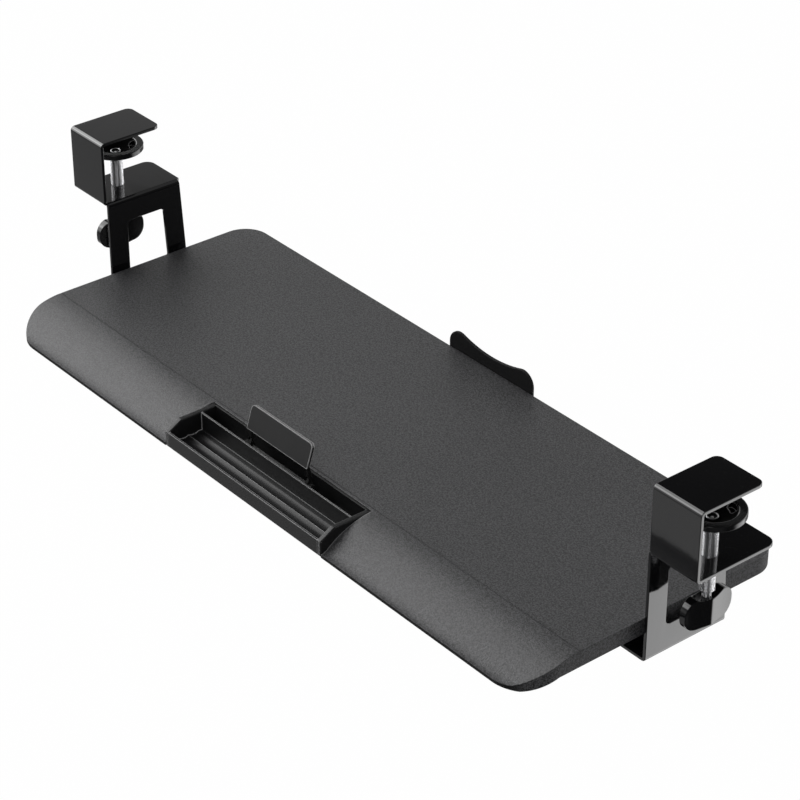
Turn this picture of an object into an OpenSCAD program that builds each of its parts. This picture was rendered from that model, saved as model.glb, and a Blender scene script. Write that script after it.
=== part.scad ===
// Under-desk keyboard tray on two screw clamps, in millimetres, +Z up.
// Origin: middle of the desk's front edge, on the desk top. The desk lies towards +Y.

/* [Tray board] */
// width of the tray board
tray_w = 700; // [600:10:760]
// depth of the tray board from rear edge to front lip
tray_d = 269; // [255:1:300]
// thickness of the flat part
tray_t = 15; // [12:0.5:18]
// height of the desk top above the tray top
tray_drop = 125; // [115:1:140]
// distance of the rear edge behind the desk edge at rest
tray_rear_y = 151; // [130:1:165]
// corner radius at the rear
rear_corner_r = 25; // [10:1:40]
// corner radius at the front
front_corner_r = 36; // [15:1:50]

/* [Front slope] */
// depth of the sloping front strip
slope_d = 55; // [45:1:65]
// radius of the rounded brow where the slope starts
brow_r = 78; // [70:1:95]
// radius of the hollow behind the lip
hollow_r = 9; // [6:0.5:12]
// thickness of the front lip
lip_t = 3.4; // [2.5:0.1:5]
// distance from crease to where the underside starts to fall
under_start = 20; // [18:1:24]
// distance from crease to where the underside is level again
under_end = 47; // [40:1:50]
// width of the crease line
crease_w = 0.8; // [0.4:0.1:1.5]
// depth of the crease line
crease_depth = 0.4; // [0.2:0.1:0.8]

/* [Pen tray] */
// outer width of the pen tray
pen_w = 214; // [160:1:240]
// outer depth of the pen tray
pen_d = 51.5; // [49:0.5:53]
// sideways place of the pen tray
pen_x = 0; // [-40:1:40]
// thickness of the front and rear walls
pen_wall = 2; // [1.6:0.1:3]
// thickness of the side walls
pen_side_t = 5; // [3:0.1:6]
// depth of the floor's underside below the tray top
pen_bottom = 22.7; // [21:0.1:26]
// floor thickness
pen_floor_t = 4.6; // [3.6:0.1:5.4]
// depth of the side walls' top below the tray top
pen_rim_drop = 0.5; // [0.3:0.1:2]
// depth of the front wall's top below the tray top
pen_front_drop = 8.3; // [5:0.1:12]
// length of the sloping end of the side walls
pen_rake_l = 13.7; // [8:0.1:18]
// depth of the divider's top below the tray top
divider_drop = 1.5; // [1:0.1:3]
// thickness of the divider
divider_t = 1.6; // [1.2:0.1:2.4]
// width of the rear compartment
rear_slot_w = 13.6; // [12.6:0.1:15]
// width of each pen groove
groove_w = 10; // [7:0.1:12]
// distance of the rear groove from the divider
groove_back = 4.2; // [2:0.1:7]
// depth of the pen grooves
groove_depth = 1.2; // [0.8:0.1:1.6]
// reach of the fixing ears past the walls
ear_reach = 12; // [10:0.5:15]
// thickness of the fixing ears
ear_t = 2.5; // [2:0.1:4]
// clearance between pen tray and cut-out
pen_gap = 0.3; // [0.2:0.1:1]
// step of the pen tray's front face behind the lip
pen_step = 0.3; // [0.1:0.1:0.5]

/* [Phone flap] */
// width of the flap
flap_w = 82; // [60:1:100]
// height of the flap's plate
flap_h = 22.3; // [18:0.1:30]
// thickness of the flap's plate
flap_t = 3; // [2:0.1:4]
// height of the plate's lower edge over the pin
flap_low = 15.2; // [13:0.1:18]
// distance of the plate's face in front of the pin
flap_face = 7.5; // [7:0.1:9]
// backward lean at rest in degrees
flap_lean = 17.8; // [12:0.1:22]
// radius of the plate's upper corners
flap_corner_r = 4.5; // [2:0.5:8]
// width of the two arms
arm_w = 4; // [3:0.5:6]
// half thickness of the arms at the pin
arm_half = 2.6; // [2.2:0.1:2.8]
// height of the arm's root on the flap's plate
arm_root = 2; // [1:0.1:4]
// radius of the arms' eyes
eye_r = 3.2; // [2.8:0.1:3.3]
// radius of the flap pin
flap_pin_r = 1.5; // [1.2:0.1:1.8]
// depth of the pin below the tray top
flap_pin_drop = 5; // [4.5:0.1:6]
// distance of the pin behind the divider
flap_pin_back = 3.8; // [3.7:0.1:4.5]
// width of the pin lugs
lug_w = 4; // [3:0.5:6]
// sideways gap between arm and lug
lug_gap = 0.5; // [0.4:0.1:1]

/* [Rear stop] */
// width of the rear stop
stop_w = 109; // [80:1:160]
// thickness of the rear stop
stop_t = 3; // [2:0.5:5]
// height of the lobes over the tray top
stop_h = 18; // [12:0.5:25]
// height of the dip over the tray top
stop_dip = 11.7; // [7:0.1:15]
// radius of the lobes
lobe_r = 13; // [8:0.5:13]

/* [Clamp bracket] */
// sheet thickness
sheet_t = 3; // [2:0.5:4]
// outside bend radius
bend_r = 4; // [3.8:0.1:6]
// width of the jaw
jaw_w = 49.7; // [48:0.1:64]
// height of the jaw opening
jaw_gap = 57; // [45:1:65]
// room between the desk edge and the web that joins the jaws
web_room = 2.2; // [0:0.1:4]
// length of the upper jaw behind the desk edge
jaw_top_l = 60; // [50:1:80]
// length of the lower jaw behind the desk edge
jaw_low_l = 78.5; // [70:0.5:90]
// corner radius of the upper jaw
jaw_top_r = 6.5; // [3:0.5:12]
// corner radius of the lower jaw
jaw_low_r = 9; // [3:0.5:15]
// gap between the tray's side and the hanging panel
side_gap = 5.5; // [4:0.5:10]
// distance of the panel's lower rear corner behind the desk edge
panel_rear_y = 82; // [78:0.5:95]
// distance of the panel's upper rear corner behind the desk edge
panel_top_y = 76; // [70:0.5:78]
// width of the panel's legs
leg_w = 20; // [14:0.5:26]
// height of the panel's lower bar
bar_h = 26; // [18:0.5:32]
// distance from lower jaw to window
window_top = 20; // [12:0.5:28]
// corner radius of the window
window_r = 4.5; // [2:0.5:8]
// width of the bottom flange
flange_w = 50; // [48:1:60]

/* [Clamp screw] */
// radius of the screw
screw_r = 6; // [4:0.5:7]
// distance of the screw from the panel's outer face
screw_x = 28.6; // [27:0.1:31]
// distance of the screw behind the desk edge
screw_y = 28.5; // [27.5:0.5:36]
// thickness of the desk held at rest
desk_t = 16.4; // [10:0.1:28]
// radius of the pressure pad
pad_r = 26; // [23.5:0.5:26.5]
// thickness of the pad's rim
pad_t = 5; // [4:0.1:6]
// radius of the swivel stud
stud_r = 4; // [3:0.5:4.5]
// radius of the swivel head
swivel_r = 4.9; // [4.7:0.1:6]
// height of the swivel head
swivel_h = 1.4; // [1:0.1:1.8]
// radius of the hollow in the swivel head
hollow_head_r = 3.4; // [2.6:0.1:3.6]
// depth of the hollow in the swivel head
hollow_head_d = 2.2; // [1.5:0.1:3]
// radius of the nub in the hollow
nub_r = 1.2; // [0.8:0.1:1.8]
// height of the nub in the hollow
nub_h = 1; // [0.5:0.1:1.4]
// inner radius of the pad's flat rim
land_r = 20; // [18:0.5:21]
// depth of the pad's dish
dish_depth = 8.3; // [6.5:0.1:9]
// radius of the dish's floor
dish_r = 7; // [6.5:0.1:8]
// thickness of the dish's floor
dish_t = 4.8; // [4:0.1:6]
// extra radius of the dish's underside over its inside
dish_wall = 2; // [1.5:0.1:2.4]
// inner radius of the pad's slot
slot_in_r = 13; // [12:0.1:14]
// outer radius of the pad's slot
slot_out_r = 18.3; // [16:0.1:19]
// angle of the slot's first end in degrees
slot_from = 52; // [30:1:60]
// angle of the slot's other end in degrees
slot_to = 75; // [65:1:120]
// depth of the slot's floor below the rim's underside
slot_drop = 1.2; // [0.5:0.1:1.6]
// radius of the thread bush
bush_r = 10; // [8.5:0.5:14]
// height of the thread bush
bush_h = 8; // [6:0.5:9]
// depth of the screw's lower shoulder below the desk top
shoulder_drop = 89; // [86:0.5:95]
// radius of the screw's neck
neck_r = 3.7; // [3:0.1:5]

/* [Wing knob] */
// length across the wings
knob_l = 49; // [42:1:52]
// height of the knob
knob_h = 26.2; // [22:0.1:29]
// depth of the knob's top below the desk top
knob_drop = 92.2; // [90.5:0.1:98]
// half thickness at the hub
knob_hub = 7; // [6:0.5:11]
// half thickness at the wing tips
knob_tip = 3; // [2:0.5:4]
// radius of the wings' outer corners
knob_corner_r = 11.5; // [4:0.5:12]
// depth of the dip in the knob's top at the hub
knob_dip = 2.2; // [0.5:0.1:3]
// width of the dip in the knob's top
knob_dip_w = 26; // [18:0.5:32]
// depth of the screw in the knob
knob_grip = 18; // [12:0.5:20]

/* [Slides] */
// distance of the slides from the tray's side
rail_inset = 32; // [30:0.5:33]
// half width of the moving rail
rail_half = 15; // [15:0.1:16]
// wall thickness of the moving rail
rail_wall = 3.2; // [2.8:0.1:3.4]
// thickness of the moving rail's web
rail_web = 2; // [1.8:0.1:2.5]
// space between tray and bottom flange
rail_space = 16.5; // [16:0.1:19]
// gap between the two rails' walls
race_gap = 2; // [1.8:0.1:2.2]
// radius of the balls
ball_r = 2; // [1.8:0.1:2.2]
// clearance between ball and race
race_clear = 0.3; // [0.2:0.05:0.4]
// thickness of the ball cage
cage_t = 0.8; // [0.6:0.1:1]
// length of the ball cage
cage_l = 50; // [40:1:60]
// distance between neighbouring balls
ball_pitch = 12; // [9:0.5:15]
// distance of the moving rail from where the board's underside falls
moving_gap = 5; // [3:0.5:20]
// distance of the moving rail from the tray's rear edge
moving_back = 9; // [7:1:20]
// length of the fixed rail
fixed_l = 150; // [130:1:152]
// distance of the fixed rail's front end before the desk edge
fixed_front = 2; // [0:0.5:3]

/* [Fasteners] */
// radius of the wood screws
wood_screw_r = 1.75; // [1.4:0.05:2]
// length of the wood screws in the board
wood_screw_l = 10; // [7:0.5:11]
// radius of the wood screws' heads
wood_head_r = 3.5; // [3:0.1:4]
// height of the wood screws' heads
wood_head_h = 2.2; // [1.6:0.1:2.6]
// radius of the rail rivets
rivet_r = 2; // [1.5:0.1:2.5]
// radius of the rivets' heads
rivet_head_r = 4; // [3:0.1:5]
// height of the rivets' heads
rivet_head_h = 1.6; // [1.2:0.1:2]
// clearance of a turning fit
run_clear = 0.05; // [0.02:0.01:0.1]
// clearance round a fixed pin or fastener
fast_clear = 0.03; // [0.01:0.01:0.05]

/* [Hidden] */
$fn = 96;
eps = 1;
blend = 0.02;

BLACK_STEEL = [0.035, 0.035, 0.04];
CHARCOAL = [0.075, 0.075, 0.08];
BLACK_PLASTIC = [0.02, 0.02, 0.022];
SATIN_PLASTIC = [0.05, 0.05, 0.052];
BRIGHT_STEEL = [0.7, 0.7, 0.72];
RAIL_ZINC = [0.5, 0.51, 0.53];

half_w = tray_w / 2;
crease_y = slope_d - tray_d;
arc_sum = brow_r + hollow_r;
lip_z = sqrt(arc_sum * arc_sum - slope_d * slope_d) - arc_sum;
lip_low = lip_z - lip_t;
join_z = (lip_z + arc_sum) * brow_r / arc_sum - brow_r;

pen_front = pen_step - tray_d;
pen_rear = pen_front + pen_d;
pen_half = pen_w / 2;
floor_z = pen_floor_t - pen_bottom;
cell_front = pen_front + pen_wall;
slot_rear = pen_rear - pen_wall;
slot_front = slot_rear - rear_slot_w;
cell_rear = slot_front - divider_t;
cell_w = pen_w - 2 * pen_side_t;
groove_rear = cell_rear - groove_back;
ridge_y = groove_rear - groove_w;
ear_front = crease_y - under_start + 3;
ear_rear = pen_rear + ear_reach;
ear_screw_y = (ear_front + pen_rear) / 2;
rear_screw_x = pen_half * 2 / 3;
side_screw_x = pen_half + ear_reach / 2;
rear_screw_y = pen_rear + ear_reach / 2;

pin_y = slot_front + flap_pin_back;
pin_z = -flap_pin_drop;
arm_out = flap_w / 2;
arm_in = arm_out - arm_w;
lug_in = arm_out + lug_gap;
lug_out = lug_in + lug_w;

lobe_x = stop_w / 2 - lobe_r;
lobe_z = stop_h - lobe_r;
lobe_rise = stop_h - stop_dip;
dip_sum = (lobe_x * lobe_x + lobe_rise * lobe_rise) / (2 * lobe_rise);
dip_r = dip_sum - lobe_r;
dip_x = lobe_x * dip_r / dip_sum;
stop_screw_x = lobe_x - 3;

panel_in = half_w + side_gap;
panel_out = panel_in + sheet_t;
jaw_out = panel_out + jaw_w;
web_out = -sheet_t - web_room;
jaw_low_z = -jaw_gap - sheet_t;
tray_low_z = -tray_drop - tray_t;
flange_top = tray_low_z - rail_space;
flange_low = flange_top - sheet_t;
flange_in = panel_out - flange_w;
window_high = jaw_low_z - window_top;
window_low = flange_low + bar_h;
panel_lean = (panel_rear_y - panel_top_y) / (jaw_low_z - flange_low);
window_front = leg_w - sheet_t;

axis_x = panel_out + screw_x;
pad_top = -desk_t;
rim_low = pad_top - pad_t;
dish_z = pad_top - dish_depth;
pad_low = dish_z - dish_t;
head_low = dish_z + run_clear;
head_top = head_low + swivel_h;
screw_top = pad_low - run_clear;
knob_top = -knob_drop;
knob_low = knob_top - knob_h;

rail_x = half_w - rail_inset;
race_out = rail_half - rail_wall;
race_in = race_out - race_gap;
ball_x = race_out - race_gap / 2;
moving_web_z = tray_low_z - rail_web;
fixed_web_z = flange_top + rail_web;
bridge_top = moving_web_z - 0.8;
bridge_low = bridge_top - cage_t;
fixed_top = bridge_low - 0.6;
moving_low = flange_top + 3.5;
ball_z = (fixed_top + moving_low) / 2;
cage_low = moving_low + 1;
moving_rear = tray_rear_y - moving_back;
moving_front = tray_rear_y + crease_y - under_start + moving_gap;
fixed_rear = fixed_l - fixed_front;
cage_y = (moving_rear - fixed_front) / 2;
rail_screw_ys = [moving_front + 20, (moving_front + moving_rear) / 2, moving_rear - 20];
rivet_ys = [18, 64];

function edge_normal(a, b) = [b[1] - a[1], a[0] - b[0]] / norm(b - a);

// Convex plate with round corners: corner centres counter-clockwise, one radius for each.
module rounded(centres, radii) {
  last = len(centres) - 1;
  polygon([
    for (i = [0 : last], end = [0, 1])
      let (j = (i + 1) % (last + 1), k = end == 0 ? i : j)
        centres[k] + radii[k] * edge_normal(centres[i], centres[j])
  ]);
  for (i = [0 : last]) {
    translate(centres[i]) circle(radii[i]);
  }
}

// Y-Z profile drawn along X, from the middle out.
module along_x(length) {
  rotate([90, 0, 90]) linear_extrude(height = length, center = true) children();
}

// X-Z profile drawn along Y between two places.
module along_y(front, rear) {
  translate([0, rear, 0]) rotate([90, 0, 0]) linear_extrude(height = rear - front) children();
}

module on_tray() {
  translate([0, tray_rear_y, -tray_drop]) children();
}

module left() {
  mirror([1, 0, 0]) children();
}

// Tray board

// Space over the sloping strip, down to where brow and hollow meet.
module slope_space() {
  difference() {
    translate([-tray_d - eps, join_z]) square([slope_d + eps, eps - join_z]);
    translate([crease_y, -brow_r - blend]) circle(brow_r);
  }
}

module tray_profile() {
  difference() {
    polygon([
      [0, 0],
      [-tray_d, 0],
      [-tray_d, lip_low],
      [crease_y - under_end, lip_low],
      [crease_y - under_start, -tray_t],
      [0, -tray_t]
    ]);
    slope_space();
    translate([-tray_d, lip_z + hollow_r - 2 * blend]) circle(hollow_r);
    translate([crease_y - crease_w / 2, -crease_depth]) square([crease_w, tray_t]);
  }
}

module tray_outline() {
  rear = rear_corner_r;
  front = front_corner_r;
  rounded(
    [
      [front - half_w, front - tray_d],
      [half_w - front, front - tray_d],
      [half_w - rear, -rear],
      [rear - half_w, -rear]
    ],
    [front, front, rear, rear]
  );
}

module pilot(depth) {
  cylinder(r = wood_screw_r + fast_clear, h = depth);
}

module pen_screw_places() {
  translate([pen_x, 0, -tray_t]) {
    for (side = [-1, 1]) {
      translate([side * side_screw_x, ear_screw_y, 0]) children();
      translate([side * rear_screw_x, rear_screw_y, 0]) children();
    }
  }
}

module stop_screw_places() {
  for (side = [-1, 1]) {
    translate([side * stop_screw_x, 0, -tray_t / 2]) rotate([90, 0, 0]) children();
  }
}

module rail_screw_places(side) {
  for (y = rail_screw_ys) {
    translate([side * rail_x, y - tray_rear_y, -tray_t]) children();
  }
}

module tray_board() {
  cut_rear = pen_rear + pen_gap;
  color(CHARCOAL) on_tray() difference() {
    intersection() {
      along_x(tray_w) tray_profile();
      translate([0, 0, 2 * lip_low]) linear_extrude(height = -3 * lip_low) tray_outline();
    }
    translate([pen_x - pen_half - pen_gap, -tray_d - eps, 2 * lip_low])
      cube([pen_w + 2 * pen_gap, cut_rear + tray_d + eps, -3 * lip_low]);
    pen_screw_places() translate([0, 0, -eps]) pilot(wood_screw_l - ear_t + eps + blend);
    stop_screw_places() translate([0, 0, -eps]) pilot(wood_screw_l + eps + blend);
    for (side = [-1, 1]) {
      rail_screw_places(side) translate([0, 0, -eps]) pilot(wood_screw_l + eps + blend);
    }
  }
}

// Pen tray

module pen_side_profile() {
  polygon([
    [pen_rear, -pen_bottom],
    [pen_rear, -pen_rim_drop],
    [pen_front + pen_rake_l, -pen_rim_drop],
    [pen_front, -pen_front_drop],
    [pen_front, -pen_bottom]
  ]);
}

module pen_groove(rear) {
  half = groove_w / 2;
  radius = (half * half + groove_depth * groove_depth) / (2 * groove_depth);
  translate([0, rear - half, floor_z - groove_depth + radius])
    rotate([0, 90, 0]) cylinder(r = radius, h = cell_w, center = true);
}

module pen_cells() {
  translate([-cell_w / 2, cell_front, floor_z])
    cube([cell_w, slot_rear - cell_front, pen_bottom]);
  intersection() {
    union() {
      pen_groove(ridge_y);
      pen_groove(groove_rear);
    }
    translate([-cell_w / 2, cell_front, -pen_bottom])
      cube([cell_w, cell_rear - cell_front, pen_bottom]);
  }
}

module pin_lug() {
  translate([lug_in, 0, 0]) rotate([90, 0, 90]) linear_extrude(height = lug_w) difference() {
    union() {
      translate([pin_y, pin_z]) circle(eye_r);
      translate([pin_y - eye_r, floor_z - eps]) square([2 * eye_r, pin_z - floor_z + eps]);
    }
    translate([pin_y, pin_z]) circle(flap_pin_r + fast_clear);
  }
}

module pen_tray() {
  ear_w = pen_w + 2 * ear_reach;
  color(SATIN_PLASTIC) on_tray() difference() {
    translate([pen_x, 0, 0]) {
      difference() {
        union() {
          along_x(pen_w) pen_side_profile();
          translate([-ear_w / 2, ear_front, -tray_t - ear_t])
            cube([ear_w, ear_rear - ear_front, ear_t]);
        }
        pen_cells();
      }
      translate([pen_side_t / 2 - pen_half, cell_rear, floor_z - eps])
        cube([pen_w - pen_side_t, divider_t, -divider_drop - floor_z + eps]);
      pin_lug();
      left() pin_lug();
    }
    pen_screw_places() translate([0, 0, -ear_t - eps]) pilot(ear_t + 2 * eps);
  }
}

module wood_screw() {
  cylinder(r = wood_screw_r, h = wood_screw_l);
  translate([0, 0, -wood_head_h]) cylinder(r = wood_head_r, h = wood_head_h);
}

module pen_tray_screws() {
  color(BRIGHT_STEEL) on_tray() pen_screw_places() translate([0, 0, -ear_t]) wood_screw();
}

// Phone flap

module flap_arm() {
  translate([arm_in, 0, 0]) rotate([90, 0, 90]) linear_extrude(height = arm_w) difference() {
    union() {
      circle(eye_r);
      polygon([
        [arm_half, 0],
        [arm_half, 2 * eye_r],
        [flap_t - flap_face + arm_root / 2, flap_low],
        [flap_t - flap_face, flap_low + arm_root],
        [flap_t / 2 - flap_face, flap_low + arm_root],
        [flap_t / 2 - flap_face, flap_low],
        [flap_t - flap_face, flap_low - arm_root],
        [-arm_half, 2 * eye_r],
        [-arm_half, 0]
      ]);
    }
    circle(flap_pin_r + run_clear);
  }
}

module flap_plate() {
  corner = flap_corner_r;
  foot = 1;
  rounded(
    [
      [foot - arm_out, flap_low + foot],
      [arm_out - foot, flap_low + foot],
      [arm_out - corner, flap_low + flap_h - corner],
      [corner - arm_out, flap_low + flap_h - corner]
    ],
    [foot, foot, corner, corner]
  );
}

module phone_flap() {
  color(SATIN_PLASTIC) on_tray() translate([pen_x, pin_y, pin_z]) rotate([-flap_lean, 0, 0]) {
    along_y(-flap_face, flap_t - flap_face) flap_plate();
    flap_arm();
    left() flap_arm();
  }
}

module flap_pin() {
  color(BLACK_STEEL) on_tray() translate([pen_x, pin_y, pin_z])
    rotate([0, 90, 0]) cylinder(r = flap_pin_r, h = 2 * lug_out, center = true);
}

// Rear stop

module stop_outline() {
  translate([-stop_w / 2, -tray_t]) square([stop_w, tray_t + lobe_z]);
  for (side = [-1, 1]) {
    translate([side * lobe_x, lobe_z]) circle(lobe_r);
  }
  difference() {
    translate([-dip_x - blend, 0]) square([2 * (dip_x + blend), stop_h]);
    translate([0, stop_dip + dip_r]) circle(dip_r);
  }
}

module rear_stop() {
  color(BLACK_PLASTIC) on_tray() difference() {
    along_y(0, stop_t) stop_outline();
    stop_screw_places() translate([0, 0, -stop_t - eps]) pilot(stop_t + 2 * eps);
  }
}

module rear_stop_screws() {
  color(BRIGHT_STEEL) on_tray() stop_screw_places() {
    translate([0, 0, -stop_t]) cylinder(r = wood_screw_r, h = wood_screw_l + stop_t);
    translate([0, 0, -stop_t - wood_head_h]) cylinder(r = wood_head_r, h = wood_head_h);
  }
}

// Clamp bracket

module jaw_profile() {
  inner_r = bend_r - sheet_t;
  difference() {
    union() {
      rounded(
        [
          [web_out + bend_r, jaw_low_z + bend_r],
          [jaw_low_l - bend_r, jaw_low_z + bend_r],
          [jaw_low_l - bend_r, sheet_t - bend_r],
          [web_out + bend_r, sheet_t - bend_r]
        ],
        [bend_r, bend_r, bend_r, bend_r]
      );
      translate([jaw_low_l / 2, jaw_low_z]) square([jaw_low_l / 2, jaw_gap + 2 * sheet_t]);
    }
    rounded(
      [
        [inner_r - web_room, inner_r - jaw_gap],
        [2 * jaw_low_l, inner_r - jaw_gap],
        [2 * jaw_low_l, -inner_r],
        [inner_r - web_room, -inner_r]
      ],
      [inner_r, inner_r, inner_r, inner_r]
    );
  }
}

module jaw_outline(length, inner_corner_r, outer_corner_r) {
  front = web_out - sheet_t;
  small = 0.5;
  rounded(
    [
      [panel_out + small, front + small],
      [jaw_out - small, front + small],
      [jaw_out - outer_corner_r, length - outer_corner_r],
      [panel_out + inner_corner_r, length - inner_corner_r]
    ],
    [small, small, outer_corner_r, inner_corner_r]
  );
}

module jaw() {
  intersection() {
    translate([(panel_out + jaw_out) / 2, 0, 0]) along_x(jaw_w) jaw_profile();
    union() {
      translate([0, 0, -jaw_gap / 2])
        linear_extrude(height = jaw_gap) jaw_outline(jaw_top_l, jaw_top_r, jaw_top_r);
      translate([0, 0, -jaw_gap * 3 / 2])
        linear_extrude(height = jaw_gap) jaw_outline(jaw_low_l, 0.5, jaw_low_r);
    }
  }
}

// Quarter bend of the sheet round a centre, towards the given X and Z directions.
module bend(centre, x_dir, z_dir) {
  translate(centre) intersection() {
    difference() {
      circle(bend_r);
      circle(bend_r - sheet_t);
    }
    scale([x_dir, z_dir]) square(bend_r);
  }
}

module panel_section() {
  upper = [panel_in + bend_r, -jaw_gap - bend_r];
  lower = [panel_out - bend_r, flange_low + bend_r];
  translate([upper[0], jaw_low_z]) square([2 * sheet_t, sheet_t]);
  bend(upper, -1, 1);
  translate([panel_in, lower[1]]) square([sheet_t, upper[1] - lower[1]]);
  bend(lower, 1, -1);
  translate([flange_in, flange_low]) square([lower[0] - flange_in, sheet_t]);
}

module panel_outline() {
  polygon([
    [-sheet_t, -jaw_gap],
    [-sheet_t, flange_low],
    [panel_rear_y, flange_low],
    [panel_top_y, -jaw_gap]
  ]);
}

module panel_window() {
  r = window_r;
  rear_high = panel_top_y - leg_w + panel_lean * (jaw_low_z - window_high);
  rear_low = panel_top_y - leg_w + panel_lean * (jaw_low_z - window_low);
  rounded(
    [
      [window_front + r, window_low + r],
      [rear_low - r, window_low + r],
      [rear_high - r, window_high - r],
      [window_front + r, window_high - r]
    ],
    [r, r, r, r]
  );
}

module panel() {
  middle = (panel_in + panel_out) / 2;
  difference() {
    intersection() {
      along_y(-sheet_t, panel_rear_y) panel_section();
      translate([middle, 0, 0]) along_x(4 * flange_w) panel_outline();
    }
    translate([middle, 0, 0]) along_x(4 * sheet_t) panel_window();
    translate([panel_out, -sheet_t - eps, jaw_low_z - eps])
      cube([4 * sheet_t, sheet_t + bend_r + eps, sheet_t + 2 * eps]);
  }
}

module clamp_bracket() {
  color(BLACK_STEEL) difference() {
    union() {
      jaw();
      panel();
    }
    translate([axis_x, screw_y, jaw_low_z - eps])
      cylinder(r = screw_r + 0.5, h = sheet_t + 2 * eps);
    for (y = rivet_ys) {
      translate([rail_x, y, flange_low - eps])
        cylinder(r = rivet_r + fast_clear, h = sheet_t + 2 * eps);
    }
  }
}

module thread_bush() {
  color(BLACK_STEEL) translate([axis_x, screw_y, jaw_low_z - bush_h]) difference() {
    cylinder(r = bush_r, h = bush_h);
    translate([0, 0, -eps]) cylinder(r = screw_r + run_clear, h = bush_h + 2 * eps);
  }
}

// Slides

module race_cut() {
  for (side = [-1, 1]) {
    translate([side * ball_x, ball_z]) circle(ball_r + race_clear);
  }
}

module fixed_section() {
  difference() {
    translate([-race_in, flange_top]) square([2 * race_in, fixed_top - flange_top]);
    translate([rail_wall - race_in, fixed_web_z])
      square([2 * (race_in - rail_wall), fixed_top - fixed_web_z + eps]);
    race_cut();
  }
}

module moving_section() {
  difference() {
    translate([-rail_half, moving_low]) square([2 * rail_half, tray_low_z - moving_low]);
    translate([-race_out, moving_low - eps]) square([2 * race_out, moving_web_z - moving_low + eps]);
    race_cut();
  }
}

module cage_section() {
  outer = ball_x + cage_t / 2;
  inner = ball_x - cage_t / 2;
  difference() {
    translate([-outer, cage_low]) square([2 * outer, bridge_top - cage_low]);
    translate([-inner, cage_low - eps]) square([2 * inner, bridge_low - cage_low + eps]);
  }
}

module ball_places() {
  for (side = [-1, 1], step = [-1.5 : 1 : 1.5]) {
    translate([rail_x + side * ball_x, cage_y + step * ball_pitch, ball_z]) children();
  }
}

module fixed_rail() {
  color(RAIL_ZINC) difference() {
    translate([rail_x, 0, 0]) along_y(-fixed_front, fixed_rear) fixed_section();
    for (y = rivet_ys) {
      translate([rail_x, y, flange_top - eps])
        cylinder(r = rivet_r + fast_clear, h = rail_web + 2 * eps);
    }
  }
}

module rail_rivets() {
  shank = sheet_t + rail_web;
  color(BRIGHT_STEEL) for (y = rivet_ys) {
    translate([rail_x, y, flange_low]) {
      cylinder(r = rivet_r, h = shank);
      translate([0, 0, -rivet_head_h]) cylinder(r = rivet_head_r, h = rivet_head_h);
      translate([0, 0, shank]) cylinder(r = rivet_head_r, h = rivet_head_h);
    }
  }
}

module rail_screw(clear) {
  cylinder(r = wood_screw_r + clear, h = wood_screw_l);
  translate([0, 0, -rail_web])
    cylinder(r1 = wood_head_r + clear, r2 = wood_screw_r + clear, h = rail_web);
}

module moving_rail() {
  color(RAIL_ZINC) difference() {
    translate([rail_x, 0, 0]) along_y(moving_front, moving_rear) moving_section();
    on_tray() rail_screw_places(1) rail_screw(fast_clear);
  }
}

module rail_screws() {
  color(BRIGHT_STEEL) on_tray() rail_screw_places(1) rail_screw(0);
}

module ball_cage() {
  color(RAIL_ZINC) difference() {
    translate([rail_x, 0, 0])
      along_y(cage_y - cage_l / 2, cage_y + cage_l / 2) cage_section();
    ball_places() rotate([0, 90, 0])
      cylinder(r = ball_r + 2 * run_clear, h = 2 * cage_t, center = true);
  }
}

module rail_balls() {
  color(BRIGHT_STEEL) ball_places() sphere(r = ball_r);
}

// Clamp screw

module on_screw(height) {
  translate([axis_x, screw_y, height]) children();
}

module clamp_screw() {
  chamfer = 0.8;
  color(BRIGHT_STEEL) {
    on_screw(-shoulder_drop + chamfer)
      cylinder(r = screw_r, h = screw_top + shoulder_drop - chamfer);
    on_screw(-shoulder_drop) cylinder(r1 = screw_r - chamfer, r2 = screw_r, h = chamfer);
    on_screw(knob_top - knob_grip)
      cylinder(r = neck_r, h = knob_drop + knob_grip - shoulder_drop + chamfer);
  }
}

module swivel_stud() {
  hollow_z = head_top - hollow_head_d;
  color(BRIGHT_STEEL) {
    difference() {
      union() {
        on_screw(screw_top) cylinder(r = stud_r, h = head_low + blend - screw_top);
        on_screw(head_low) cylinder(r = swivel_r, h = swivel_h);
      }
      on_screw(hollow_z) cylinder(r = hollow_head_r, h = hollow_head_d + eps);
    }
    on_screw(hollow_z - blend) cylinder(r = nub_r, h = nub_h + blend);
  }
}

// Curved slot with round ends through the pad's dish.
module pad_slot() {
  middle_r = (slot_in_r + slot_out_r) / 2;
  reach = 2 * pad_r;
  linear_extrude(height = dish_depth + dish_t + 2 * eps) {
    intersection() {
      difference() {
        circle(slot_out_r);
        circle(slot_in_r);
      }
      polygon([
        [0, 0],
        [reach * cos(slot_from), reach * sin(slot_from)],
        [reach * cos(slot_to), reach * sin(slot_to)]
      ]);
    }
    for (angle = [slot_from, slot_to]) {
      translate([middle_r * cos(angle), middle_r * sin(angle)]) circle(slot_out_r - middle_r);
    }
  }
}

module pressure_pad() {
  flare = (land_r - dish_r) / dish_depth;
  color(BLACK_PLASTIC) difference() {
    union() {
      on_screw(rim_low) cylinder(r = pad_r, h = pad_t);
      on_screw(pad_low)
        cylinder(r1 = dish_r + dish_wall, r2 = land_r + dish_wall, h = rim_low - pad_low + blend);
    }
    on_screw(dish_z)
      cylinder(r1 = dish_r, r2 = land_r + eps * flare, h = dish_depth + eps);
    on_screw(pad_low - eps) cylinder(r = stud_r + run_clear, h = dish_t + 2 * eps);
    on_screw(rim_low - slot_drop) pad_slot();
  }
}

module knob_plan() {
  tip = knob_l / 2;
  polygon([
    [knob_hub, 0],
    [knob_tip, tip],
    [-knob_tip, tip],
    [-knob_hub, 0],
    [-knob_tip, -tip],
    [knob_tip, -tip]
  ]);
}

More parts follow.
